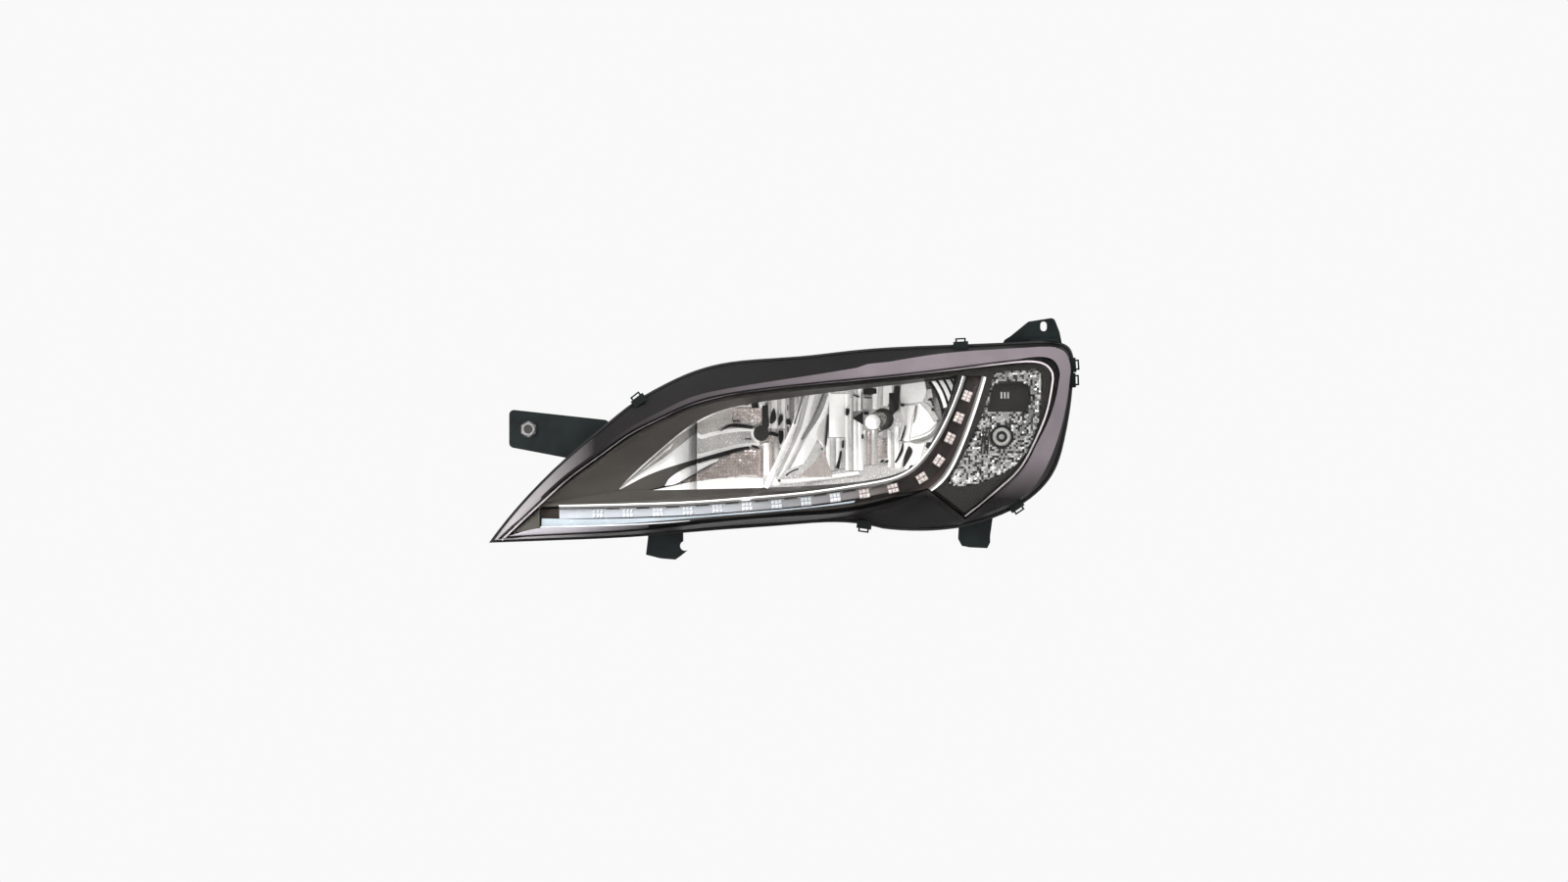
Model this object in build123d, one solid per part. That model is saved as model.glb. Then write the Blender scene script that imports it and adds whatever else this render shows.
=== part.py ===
from build123d import *
import os
from math import cos, pi, radians, sin

# A left-hand swept headlight. X runs along the lamp to its outer end, Y runs back into the vehicle
# and Z is up. Shapes are drawn in a lamp frame whose zero is near the middle of the lens, and are
# moved on export so that the origin is the centre of the nut on the inner mounting arm.
# A depth, where a shape is swept, is measured ahead of the flange plane that the lens is glued to.

# ---- Driving dimensions (mm) ----
SWEEP_X = 0.28          # the flange plane runs back this much for each millimetre outwards
SWEEP_Z = 0.20          # and this much for each millimetre upwards
REAR_Y = 165.0          # outside of the flat rear wall
WALL = 3.0              # housing wall
LENS_WALL = 3.0
CROWN_RADIUS = 5400.0   # the lens face is part of a very large sphere
CROWN_HEIGHT = 40.0     # lens face ahead of the flange plane, in the middle
BEZEL_FACE = 18.0       # bezel face ahead of the flange plane
REFLECTOR_RIM = -23.0   # front rim of the moving reflectors, behind the flange plane
REFLECTOR_WALL = 2.5
FOCUS = 29.0            # focal length of both main dishes

# Axis and vertex of each lamp.
HIGH_X, HIGH_Z, HIGH_VERTEX = -34.0, 6.0, 80.0
LOW_X, LOW_Z, LOW_VERTEX = 110.0, 20.0, 125.0
TURN_X, TURN_Z = 280.0, 58.0
SIDE_X, SIDE_Z = 263.0, 0.5
LOUVRE_REACH, LOUVRE_PITCH = 85.3, 7.8   # the first fin's radius about the low beam, and fin to fin
LAMP_BORE_R = 11.0      # for the bulb, in the bowl of each corner lamp
HIGH_NECK, LOW_NECK = 45.0, 48.0         # outer radii of the rear necks
NECK_END = 181.0
NECK_WALL = 3.0

PIVOT_X, PIVOT_Y, PIVOT_Z = 42.0, 104.0, -45.0   # fixed ball that the reflectors turn about
LEVEL_ARM = 100.0       # levelling ball above the pivot
AIM_ARM = 192.0         # side-aiming ball inwards of the pivot
BALL_R = 6.0
SOCKET_GAP = 0.4        # room round each ball, so that the three-point mount can swing
SOCKET_R = 9.0
RUNNING_GAP = 0.06
ROD_R = 4.0

NUT_X, NUT_Z = -317.4, 10.8
ARM_FRONT, ARM_THICK = -33.0, 3.0
ARM_HOLE_R = 4.5
NUT_BORE_R = 3.4        # minor radius of an M8 thread
NUT_BORE_LENGTH = 5.8   # the nut is closed in front, so its bolt comes from behind
NUT_RECESS_R = 5.6
FOOT_HOLE_R = 3.3       # clears an M6 screw
TAB_FRONT, TAB_THICK = 117.0, 3.0
TAB_SLOT_X, TAB_SLOT_Z = 317.0, 139.0
TAB_SLOT_WIDE, TAB_SLOT_TALL = 8.0, 12.0

ORIGIN = Vector(NUT_X, ARM_FRONT, NUT_Z)
LEVEL_Z = PIVOT_Z + LEVEL_ARM
AIM_X = PIVOT_X - AIM_ARM


# ---- Outlines, seen from the front, as sides of a closed clockwise loop of (x, z) ----
RIM = [
    [(-361, -126), (-317, -71), (-268, -22), (-219, 20), (-190, 43), (-155, 64), (-121, 80),
     (-84, 91), (-35, 97), (18, 101), (82, 108.5), (186, 115), (256, 118), (310, 121)],
    [(310, 121), (333, 120), (349, 113), (354.6, 98), (354, 80)],
    [(354, 80), (352, 55), (342, -2.4), (329, -41), (308, -67), (277, -88), (245, -101), (206, -111)],
    [(206, -111), (165, -114), (115, -111)],
    [(115, -111), (60, -103), (0, -106), (-102, -113), (-176, -119), (-265, -123), (-361, -126)],
]
BAND = [
    [(-350, -121.5), (-306, -78), (-269, -43.5), (-230, -14.5), (-195.5, 11), (-159, 31), (-121, 49),
     (-77, 60), (-30, 68), (82, 86), (186, 104), (277, 111), (300, 112.5)],
    [(300, 112.5), (325, 113), (342, 107), (349, 92), (349, 78)],
    [(349, 78), (343, 37.6), (332, -3), (318, -36), (299, -63), (258, -87), (214, -104)],
    [(214, -104), (190, -87), (168, -70)],
    [(168, -70), (126, -83), (61, -96), (18, -99), (-77, -105.5), (-121, -110), (-175, -115.5),
     (-260, -119), (-350, -121.5)],
]
CREASE = [
    [(-347, -120), (-305, -80), (-268, -46), (-229, -17), (-194.5, 8), (-158, 27), (-121, 44), (-72, 57),
     (-23, 64), (30, 70), (82, 75), (186, 86), (260, 95), (290, 98)],
    [(290, 98), (308, 98.5), (322, 94), (329.5, 83), (330, 70)],
    [(330, 70), (322, 31), (306, -7), (287, -40), (258, -67), (238, -84), (216, -101)],
    [(216, -101), (193, -82.5), (169, -65)],
    [(169, -65), (126, -80), (61, -93), (18, -96), (-77, -102.5), (-121, -107), (-175, -112.5),
     (-260, -116.5), (-347, -120)],
]
REAR = [
    [(-182, -72), (-186, -40), (-182, -5), (-168, 33), (-138, 60), (-70, 76), (20, 84), (120, 88), (230, 90)],
    [(230, 90), (275, 90), (298, 84), (309, 68), (311, 45)],
    [(311, 45), (311, 10), (306, -30), (290, -62), (262, -82), (235, -90), (205, -93)],
    [(205, -93), (160, -94), (115, -94)],
    [(115, -94), (60, -93), (0, -93), (-90, -92), (-140, -91), (-168, -86), (-182, -72)],
]
WELL_FRONT = [
    [(-300, -79), (-262, -54), (-222.5, -25), (-189, -1), (-153, 18), (-117, 34.5), (-70, 47), (-22, 54),
     (31, 60), (83, 65), (187, 76), (209, 78.5)],
    [(209, 78.5), (197, 35), (184, 6), (172, -18), (152, -39), (126, -49), (82, -57), (-30, -66),
     (-165, -75), (-240, -79), (-300, -79)],
]
WELL_BACK = [
    [(-208, -64), (-187, -41), (-157, -14.5), (-124, 13), (-105, 24.5), (-71, 37), (-18, 46.6), (82, 60),
     (152, 68), (205, 74)],
    [(205, 74), (193, 32), (180, 4), (168, -19), (150, -36), (126, -46), (82, -54), (-30, -60.6),
     (-165, -63.4), (-208, -64)],
]
BLADE_PATH = [(-277, -84), (-200, -82.5), (-121, -80), (-50, -75), (18, -69), (80, -60.5), (126, -52),
              (150, -41), (165, -27), (178, -10), (190, 10), (202, 35), (212, 60), (217, 76)]
OUTER_BLADE_PATH = [(241, 76), (233, 50), (222, 18), (211, -10), (199, -35), (187, -52), (171, -65)]
NOTCH_BLADE_PATH = [(173.5, -67.5), (191, -80.5), (213, -98)]
CHANNEL_LOW_EDGE = [(-300, -107), (-175, -102.5), (-100, -96.5), (-40, -92), (20, -86.5), (80, -79.5),
                    (128, -70)]
CORNER_CELL = [
    [(254, 81), (285, 84.5), (308, 85.5)],
    [(308, 85.5), (313.5, 80), (314, 62), (309, 20), (295, -17), (278, -35), (256, -47)],
    [(256, -47), (232, -56), (205, -60)],
    [(205, -60), (196, -55), (206, -37), (222, -6), (237, 25), (246, 52), (254, 81)],
]


# ---- Outline helpers ----
def inset(sides, amount):
    """The same outline moved inwards by an amount; a negative amount moves it outwards."""
    ring = [point for side in sides for point in side[:-1]]
    moved = []
    for index, (x, z) in enumerate(ring):
        xa, za = ring[index - 1]
        xb, zb = ring[(index + 1) % len(ring)]
        before = Vector(x - xa, z - za).normalized()
        after = Vector(xb - x, zb - z).normalized()
        inward = (Vector(before.Y, -before.X) + Vector(after.Y, -after.X)).normalized()
        lean = max(inward.dot(Vector(before.Y, -before.X)), 0.42)
        moved.append((x + inward.X * amount / lean, z + inward.Y * amount / lean))
    result = []
    start = 0
    for side in sides:
        count = len(side) - 1
        result.append([moved[(start + step) % len(ring)] for step in range(count + 1)])
        start += count
    return result


def lean_y(x, z, depth=0.0):
    """Y of a point that lies this far ahead of the swept flange plane."""
    return SWEEP_X * x + SWEEP_Z * z - depth


def swept(sides, depth):
    """A closed wire on a plane that is parallel to the flange plane."""
    return Wire([Spline(*[Vector(x, lean_y(x, z, depth), z) for x, z in side]) for side in sides])


def upright(sides, y):
    """A closed wire on an upright plane, square to Y."""
    return Wire([Spline(*[Vector(x, y, z) for x, z in side]) for side in sides])


def stack(*wires):
    return Solid.make_loft(list(wires), ruled=True)


def slab(sides, front, back):
    """A swept prism between two depths, the front one first."""
    return stack(swept(sides, front), swept(sides, back))


def ring_slab(outer, inner, front, back):
    return slab(outer, front, back) - slab(inner, front + 1, back - 1)


def rod(radius, x, z, y_start, y_end):
    """A round bar along Y."""
    return Pos(x, (y_start + y_end) / 2, z) * Rot(90, 0, 0) * Cylinder(radius, y_end - y_start)


def tube(outer, inner, x, z, y_start, y_end):
    return rod(outer, x, z, y_start, y_end) - rod(inner, x, z, y_start - 1, y_end + 1)


def block(x0, x1, y0, y1, z0, z1):
    return Pos((x0 + x1) / 2, (y0 + y1) / 2, (z0 + z1) / 2) * Box(x1 - x0, y1 - y0, z1 - z0)


def rounded_block(x0, x1, y0, y1, z0, z1, corner):
    face = make_face(RectangleRounded(x1 - x0, z1 - z0, corner).edges())
    prism = extrude(Plane.XZ * face, amount=y1 - y0)
    return Pos((x0 + x1) / 2, y1, (z0 + z1) / 2) * prism


def bowl(x, z, vertex, focus, reach):
    """The space inside a paraboloid that faces forward, out to a radius."""
    edge_y = vertex - reach * reach / (4 * focus)
    curve = Bezier((0, vertex), (reach / 2, vertex), (reach, edge_y))
    half = make_face([curve, Line((reach, edge_y), (0, edge_y)), Line((0, edge_y), (0, vertex))])
    return Pos(x, 0, z) * revolve(half, Axis.Y, 360)


def ribbon(path, width, front, back, shift=0.0):
    """A thin strip that follows a path at constant width between two swept depths."""
    left = []
    right = []
    for index, (x, z) in enumerate(path):
        xa, za = path[max(index - 1, 0)]
        xb, zb = path[min(index + 1, len(path) - 1)]
        along = Vector(xb - xa, zb - za).normalized()
        side = Vector(-along.Y, along.X)
        left.append((x + side.X * (shift + width / 2), z + side.Y * (shift + width / 2)))
        right.append((x + side.X * (shift - width / 2), z + side.Y * (shift - width / 2)))
    loop = [left, [left[-1], right[-1]], right[::-1], [right[0], left[0]]]
    return slab_mixed(loop, front, back)


def mixed_wire(loop, depth):
    edges = []
    for side in loop:
        points = [Vector(x, lean_y(x, z, depth), z) for x, z in side]
        edges.append(Line(*points) if len(points) == 2 else Spline(*points))
    return Wire(edges)


def slab_mixed(loop, front, back):
    return stack(mixed_wire(loop, front), mixed_wire(loop, back))


def shifted(path, shift):
    """A path moved sideways, to its left for a positive shift."""
    moved = []
    for index, (x, z) in enumerate(path):
        xa, za = path[max(index - 1, 0)]
        xb, zb = path[min(index + 1, len(path) - 1)]
        along = Vector(xb - xa, zb - za).normalized()
        moved.append((x - along.Y * shift, z + along.X * shift))
    return moved


# ---- Lens, seal and housing ----
def lens_body(shrink):
    """The lens's outer form, or its inside when shrunk by the wall."""
    skirt = stack(
        swept(inset(RIM, 3 + shrink), -5 - (1 if shrink else 0)),
        swept(inset(RIM, 3 + shrink), 0),
        swept(inset(BAND, shrink), 18),
        swept(inset(CREASE, shrink), 30),
        swept(inset(CREASE, shrink + 3), 46),
    )
    normal = Vector(-SWEEP_X, 1, -SWEEP_Z).normalized()
    middle = Vector(0, -CROWN_HEIGHT, 0) + normal * CROWN_RADIUS
    return skirt & Pos(middle) * Sphere(CROWN_RADIUS - shrink)


def make_lens():
    return lens_body(0) - lens_body(LENS_WALL)


def make_lens_seal():
    return ring_slab(inset(RIM, 2.8), inset(RIM, 8.7), -5.2, -8)


def neck_holes():
    return [
        (HIGH_X, HIGH_Z, HIGH_NECK - NECK_WALL),
        (LOW_X, LOW_Z, LOW_NECK - NECK_WALL),
        (TURN_X, TURN_Z, 14.0),
        (SIDE_X, SIDE_Z, 11.0),
        (PIVOT_X, LEVEL_Z, 12.0),
        (AIM_X, PIVOT_Z, 9.0 + RUNNING_GAP),
        (VENT_SPOTS[0][0], VENT_SPOTS[0][1], 5.0),
        (VENT_SPOTS[1][0], VENT_SPOTS[1][1], 5.0),
    ]


VENT_SPOTS = [(-80, -70), (205, 70)]
SOCKET_X, SOCKET_Z = 226.0, -48.0
SOCKET_HALF_W, SOCKET_HALF_H = 23.0, 14.0
MODULE_X, MODULE_Z = -117.0, 16.0
MODULE_HALF_W, MODULE_HALF_H = 28.0, 22.0


def tub_form(grow=0.0):
    """The solid outer form of the housing behind its flange, larger all round by an amount."""
    return stack(swept(inset(RIM, 6 - grow), -11.5), upright(inset(REAR, -grow), REAR_Y))


def make_housing():
    flange = ring_slab(RIM, inset(RIM, 11.5), 1, -12)
    groove = ring_slab(inset(RIM, 2.5), inset(RIM, 9), 2, -8)
    inside = stack(swept(inset(RIM, 9), -10.5), upright(inset(REAR, WALL), REAR_Y - WALL))
    shell = (flange - groove) + (tub_form() - inside)
    for x, z, radius in [(HIGH_X, HIGH_Z, HIGH_NECK), (LOW_X, LOW_Z, LOW_NECK)]:
        shell += rod(radius, x, z, REAR_Y - 1, NECK_END)
    for x, z, radius in [(TURN_X, TURN_Z, 18.0), (SIDE_X, SIDE_Z, 15.0)]:
        shell += rod(radius, x, z, REAR_Y - 1, REAR_Y + 6)
    shell += rod(9.0, PIVOT_X, PIVOT_Z, 132, REAR_Y - 1)
    for x, z, radius in neck_holes():
        shell -= rod(radius, x, z, REAR_Y - WALL - 2, NECK_END + 2)
    shell -= rod(3.0, PIVOT_X, PIVOT_Z, 120, REAR_Y - 8)
    shell -= block(SOCKET_X - 19, SOCKET_X + 19, REAR_Y - 6, REAR_Y + 6, SOCKET_Z - 10, SOCKET_Z + 10)
    for x, z in screw_spots():
        shell -= rod(1.8, x, z, REAR_Y - 6, REAR_Y + 1)
    # Stiffening ribs across the flat rear wall.
    for x in RIB_SPOTS:
        shell += block(x - 1.25, x + 1.25, REAR_Y - 0.5, REAR_Y + 5, -86, -62)
    return shell


RIB_SPOTS = (-140, -110, -50, -20, 10, 40, 70, 100, 130, 160)


def screw_spots():
    """Screws in the rear wall: two for the levelling motor and two for the driver module."""
    motor = [(PIVOT_X - 26, LEVEL_Z + 2), (PIVOT_X + 26, LEVEL_Z + 14)]
    module = [(MODULE_X - MODULE_HALF_W + 5, MODULE_Z - MODULE_HALF_H + 5),
              (MODULE_X + MODULE_HALF_W - 5, MODULE_Z + MODULE_HALF_H - 5)]
    return motor + module


# ---- Trim bezel and the running light ----
def channel_region(grow, with_blades=True):
    """The L-shaped channel of the running light, with or without the room that its bright blades take."""
    inner = shifted([(-300, -84.4)] + BLADE_PATH, grow + (1.3 if with_blades else -1.3))
    right_leg = shifted(OUTER_BLADE_PATH, grow - (0 if with_blades else 2.8))
    low_edge = shifted(CHANNEL_LOW_EDGE[::-1], grow)
    inner[0] = (inner[0][0] - grow, inner[0][1])
    low_edge[-1] = (low_edge[-1][0] - grow, low_edge[-1][1])
    top_left, top_right = inner[-1], right_leg[0]
    lift = Vector(0, grow + 0.5)
    inner[-1] = (top_left[0], top_left[1] + lift.Y)
    right_leg[0] = (top_right[0], top_right[1] + lift.Y)
    return [inner, [inner[-1], right_leg[0]], right_leg, [right_leg[-1], low_edge[0]], low_edge,
            [low_edge[-1], inner[0]]]


def make_trim_bezel():
    outside = stack(swept(inset(RIM, 13), -5), swept(inset(BAND, 7), 9), swept(inset(CREASE, 7), BEZEL_FACE))
    inside = stack(swept(inset(RIM, 15.5), -7), swept(inset(BAND, 9.5), 7), swept(inset(CREASE, 9.5), 15.5))
    bezel = outside - inside
    well_skin = stack(swept(inset(WELL_FRONT, -2.2), 17), swept(inset(WELL_BACK, -2.2), -12))
    well_space = stack(swept(WELL_FRONT, BEZEL_FACE + 0.1), swept(WELL_BACK, -12.1))
    channel_wall = slab_mixed(channel_region(2.2), 17, 2)
    channel_space = slab_mixed(channel_region(0.2), 22, 0)
    cell_wall = slab(inset(CORNER_CELL, -2.4), 17, -8)
    cell_space = slab(inset(CORNER_CELL, -0.3), 22, -9)
    bezel = bezel + well_skin + channel_wall + cell_wall
    bezel = bezel - well_space - channel_space - cell_space
    return bezel


def make_blade():
    return ribbon(BLADE_PATH, 2.4, 21, 3)


def make_outer_blade():
    return ribbon(OUTER_BLADE_PATH, 2.4, 21, 3, shift=-1.4)


def make_notch_blade():
    return ribbon(NOTCH_BLADE_PATH, 1.4, 19.6, BEZEL_FACE + 0.05)


LED_PATH = [(-246, -91), (-200, -90.5), (-121, -88), (-50, -83), (18, -77.5), (80, -69.5), (129, -61.5),
            (163, -49), (185, -27), (199, 1), (210, 26), (220, 52), (226, 70)]
LED_STEPS = [19.0, 29.0, 27.5, 31.0, 30.0, 38.0]   # from the strip's upper end, LED to LED round the bend
LED_SPACING = 36.0                                 # and from there along the bottom leg
LED_COUNT = 16


def led_places():
    """LED places along the running light, each with its direction along the strip."""
    curve = Spline(*[Vector(x, 0, z) for x, z in LED_PATH])
    places = []
    reach = curve.length
    for index in range(LED_COUNT):
        reach -= LED_STEPS[index] if index < len(LED_STEPS) else LED_SPACING
        point = curve.position_at(reach, position_mode=PositionMode.LENGTH)
        along = curve.tangent_at(reach, position_mode=PositionMode.LENGTH)
        places.append((point.X, point.Z, along.X, along.Z))
    return places


def led_box(place, half_long, half_wide, front, back):
    """A small box on the strip, turned to follow it."""
    x, z, ax, az = place
    corners = [(-1, -1), (-1, 1), (1, 1), (1, -1)]
    offsets = [(half_long * i, half_wide * j) for i, j in corners]
    points = [(x + ax * u - az * v, z + az * u + ax * v) for u, v in offsets]
    loop = [[points[i], points[(i + 1) % 4]] for i in range(4)]
    return slab_mixed(loop, front, back)


def make_cup_strip():
    """The silvered tray behind the running light, with one square cup for each LED."""
    strip = slab_mixed(channel_region(-0.3, False), 7, 4)
    strip += ribbon(LED_PATH, 12.4, 9.5, 4)
    strip = strip & slab_mixed(channel_region(-0.3, False), 11, 3)
    for place in led_places():
        strip -= led_box(place, 7.4, 5.0, 12, 5.2)
        strip -= led_box(place, 2.6, 2.6, 12, 3)
    return strip


def make_led_board():
    board = ribbon(LED_PATH, 11.0, 3.9, 2.4)
    return board & slab_mixed(channel_region(-0.5, False), 11, 0)


def make_leds():
    return [led_box(place, 1.9, 1.9, 5.0, 3.95) for place in led_places()]


def make_light_guide():
    """The milky bar under the bottom leg of the strip."""
    upper = shifted(LED_PATH[:6], -6.9)
    lower = shifted(CHANNEL_LOW_EDGE[5::-1], -0.6)
    upper = [(-298, -97)] + upper
    lower = lower[:-1] + [(-298, lower[-1][1])]
    loop = [upper, [upper[-1], lower[0]], lower, [lower[-1], upper[0]]]
    return slab_mixed(loop, 13.5, 7.3)


def make_strip_lens():
    """The clear cover over the LEDs."""
    return ribbon(LED_PATH, 11.6, 13.5, 11.6) & slab_mixed(channel_region(-0.4, False), 20, 0)


# ---- Wing scoop, louvres and the corner lamps ----
def make_wing_reflector():
    """The fixed bright scoop inwards of the high beam."""
    front = [
        [(-206, -63), (-187, -41), (-157, -15), (-124, 12.5), (-112, 20)],
        [(-112, 20), (-118, -20), (-118, -62)],
        [(-118, -62), (-165, -62.6), (-206, -63)],
    ]
    back = [
        [(-190, -59), (-176, -44), (-150, -20), (-130, -2), (-119, 8)],
        [(-119, 8), (-122, -25), (-122, -58)],
        [(-122, -58), (-160, -58.6), (-190, -59)],
    ]
    outside = stack(swept(inset(front, -1.2), -12.6), swept(inset(back, -1.2), -42))
    inside = stack(swept(inset(front, 1.2), -12.5), swept(inset(back, 1.2), -40))
    return outside - inside


def low_beam_arc(reach, start):
    """An arc about the low beam's axis, from a start angle in degrees up into the outer top corner."""
    angles = [radians(start + (56 - start) * step / 5) for step in range(6)]
    return [(LOW_X + reach * cos(angle), LOW_Z + reach * sin(angle)) for angle in angles]


def make_louvres():
    """Curved bright fins on a thin base, beyond the round edge of the low beam dish."""
    fins = [ribbon(low_beam_arc(LOUVRE_REACH + LOUVRE_PITCH * index, 12), 4.6, -1, -8) for index in range(4)]
    base = ribbon(low_beam_arc(LOUVRE_REACH + 10.2, -5), 33, -7, -8.2)
    louvres = base + fins[0] + fins[1] + fins[2] + fins[3]
    return louvres & slab(inset(WELL_BACK, 0.6), 0, -9)



def make_corner_reflector():
    """The silvered double bowl behind the corner lens."""
    body = slab(inset(CORNER_CELL, 0.6), 8.5, -10)
    lamps = [(TURN_X, TURN_Z, 26.0), (SIDE_X, SIDE_Z, 24.0)]
    for x, z, reach in lamps:
        vertex = lean_y(x, z, -33)
        body += bowl(x, z, vertex + 2, 9.0, reach + 2) & slab(inset(CORNER_CELL, 0.6), 8.5, -60)
    body -= slab(inset(CORNER_CELL, 2.8), 9, -8)
    for x, z, reach in lamps:
        vertex = lean_y(x, z, -33)
        body -= bowl(x, z, vertex, 9.0, reach) & slab(inset(CORNER_CELL, 2.8), 9, -60)
        body -= rod(LAMP_BORE_R, x, z, vertex - 8, vertex + 10)
    return body


def make_corner_lens():
    return slab(inset(CORNER_CELL, 0.2), 12.5, 8.6)


def bayonet_lamp(x, z, neck, stem):
    """A twist-in holder and its bulb, behind the corner lens."""
    tip = lean_y(x, z, -33) + 2
    holder = rod(stem, x, z, tip, REAR_Y + 6)
    holder += rod(neck, x, z, REAR_Y + 6.3, REAR_Y + 10)
    holder += block(x - neck + 3, x + neck - 3, REAR_Y + 9, REAR_Y + 20, z - 3, z + 3)
    holder -= rod(stem - 2.4, x, z, tip - 1, tip + 8)
    bulb = rod(stem - 3.0, x, z, tip - 2, tip + 8)
    bulb += Pos(x, tip - 2 - (stem - 3.4), z) * Sphere(stem - 3.4)
    bulb += rod(stem - 3.4, x, z, tip - 2 - (stem - 3.4), tip - 2)
    return holder, bulb


# ---- Moving reflectors ----
SPLIT = [(-32.5, -70), (6.5, 16), (16, 48), (26, 90)]


def half_plane(right_side):
    """The part of space on one side of the divider between the two dishes."""
    far = 400 if right_side else -400
    gap = 0.8 if right_side else -0.8
    line = [(x + gap, z) for x, z in SPLIT]
    loop = [[line[i], line[i + 1]] for i in range(3)]
    loop += [[line[-1], (far, 90)], [(far, 90), (far, -70)], [(far, -70), line[0]]]
    return slab_mixed(loop, 80, -260)


def make_dish(x, z, vertex, right_side, clip):
    """One main reflector: a paraboloid with flat walls where the opening cuts across it."""
    duct = stack(swept(inset(WELL_BACK, -6.0), REFLECTOR_RIM), swept(inset(WELL_BACK, -3.0), -150))
    hollow = stack(swept(inset(WELL_BACK, -4.0), REFLECTOR_RIM + 0.5), swept(inset(WELL_BACK, -1.0), -151))
    zone = half_plane(right_side) & clip
    outside = bowl(x, z, vertex + REFLECTOR_WALL, FOCUS, 118) & duct & zone
    outside += duct & zone & slab(inset(WELL_BACK, -7.0), REFLECTOR_RIM, REFLECTOR_RIM - 2.5)
    inside = bowl(x, z, vertex, FOCUS, 120) & hollow
    inside &= half_space_trim(right_side, clip)
    dish = outside - inside - rod(13.0, x, z, vertex - 15, vertex + 10)
    return dish


def half_space_trim(right_side, clip):
    """The zone of a dish less a wall along the divider."""
    trimmed = Pos(2.0 if right_side else -2.0, 0, 0) * half_plane(right_side)
    return trimmed & clip


def make_high_dish():
    return make_dish(HIGH_X, HIGH_Z, HIGH_VERTEX, False, block(-113, 60, -200, 300, -120, 120))


def make_low_dish():
    return make_dish(LOW_X, LOW_Z, LOW_VERTEX, True, block(-400, 400, -300, 400, -200, 200))


def make_carrier():
    """The plate frame that holds both dishes, with sleeves for the ball sockets."""
    plate = rounded_block(-84, 196, 90, 94, -60, 74, 12)
    plate -= rod(37, HIGH_X, HIGH_Z, 80, 100)
    plate -= rod(69, LOW_X, LOW_Z, 80, 100)
    arm = rounded_block(AIM_X - 12, -60, 90, 94, -57, -33, 8)
    rib = block(AIM_X + 10, -62, 93, 99, -47, -43)
    frame = plate + arm + rib
    for x in (PIVOT_X, AIM_X):
        frame += Pos(x, PIVOT_Y, PIVOT_Z) * Rot(0, 90, 0) * Cylinder(SOCKET_R + 3.5, 14)
    frame += block(PIVOT_X - 10, PIVOT_X + 10, 93, PIVOT_Y + 4.5, LEVEL_Z - 10, LEVEL_Z + 10)
    for x in (PIVOT_X, AIM_X):
        frame -= Pos(x, PIVOT_Y, PIVOT_Z) * Rot(0, 90, 0) * Cylinder(SOCKET_R + RUNNING_GAP, 20)
        frame -= block(x - 8, x + 8, PIVOT_Y, PIVOT_Y + 20, PIVOT_Z - 7, PIVOT_Z + 7)
    frame -= ball_space(PIVOT_X, LEVEL_Z)
    for x, z, vertex, spots in [
        (HIGH_X, HIGH_Z, HIGH_VERTEX, [(-74, 24), (-78, -30), (-31, -44)]),
        (LOW_X, LOW_Z, LOW_VERTEX, [(60, -35), (46, 46), (170, 58), (181, 30)]),
    ]:
        for px, pz in spots:
            frame += rod(4, px, pz, 50, 91)
        frame -= bowl(x, z, vertex + REFLECTOR_WALL, FOCUS, 118)
    frame = frame - make_high_dish() - make_low_dish()
    return max(frame.solids(), key=lambda solid: solid.volume)


def ball_space(x, z):
    """A socket's round hollow, open to the rear for the stem."""
    room = Pos(x, PIVOT_Y, z) * Sphere(BALL_R + SOCKET_GAP)
    room += rod(ROD_R + 1.2, x, z, PIVOT_Y, PIVOT_Y + 20)
    return room


def make_ball_sockets():
    """Plastic sockets on the pitch axis, which turn with the side aim only."""
    sockets = []
    for x in (PIVOT_X, AIM_X):
        socket = Pos(x, PIVOT_Y, PIVOT_Z) * Rot(0, 90, 0) * Cylinder(SOCKET_R, 14)
        sockets.append(socket - ball_space(x, PIVOT_Z))
    return sockets


def make_pivot_stud():
    """The fixed ball on its stem, with an upright grease hole."""
    stud = Pos(PIVOT_X, PIVOT_Y, PIVOT_Z) * Sphere(BALL_R)
    stud += rod(ROD_R - 1, PIVOT_X, PIVOT_Z, PIVOT_Y, REAR_Y - 9)
    return stud - Pos(PIVOT_X, PIVOT_Y, PIVOT_Z) * Cylinder(1.2, 4 * BALL_R)


def main_bulb(x, z, vertex):
    """A halogen bulb in three parts: glass, metal base and rear plug."""
    glass = rod(5.9, x, z, vertex - 34, vertex + 3) + Pos(x, vertex - 34, z) * Sphere(5.9)
    base = rod(11.0, x, z, vertex + 3, vertex + 7) + rod(14.5, x, z, vertex + 7, vertex + 9)
    base += rod(9.0, x, z, vertex + 9, vertex + 16)
    plug = rounded_block(x - 11, x + 11, vertex + 16, vertex + 34, z - 9, z + 9, 3)
    return glass, base, plug


def make_retaining_spring(x, z, vertex):
    """A wire spring that presses the bulb base forward."""
    wire_r = 0.8
    y = vertex + 9 + wire_r + 0.1
    spring = Pos(x, y, z) * Rot(90, 0, 0) * Torus(12.0, wire_r)
    for side in (-9.6, 9.6):
        spring += Pos(x + side, y, z - 14) * Cylinder(wire_r, 16)
        spring += rod(wire_r, x + side, z - 20.6, vertex - 4, y)
    return spring - bowl(x, z, vertex + REFLECTOR_WALL + 0.05, FOCUS, 60)


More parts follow.
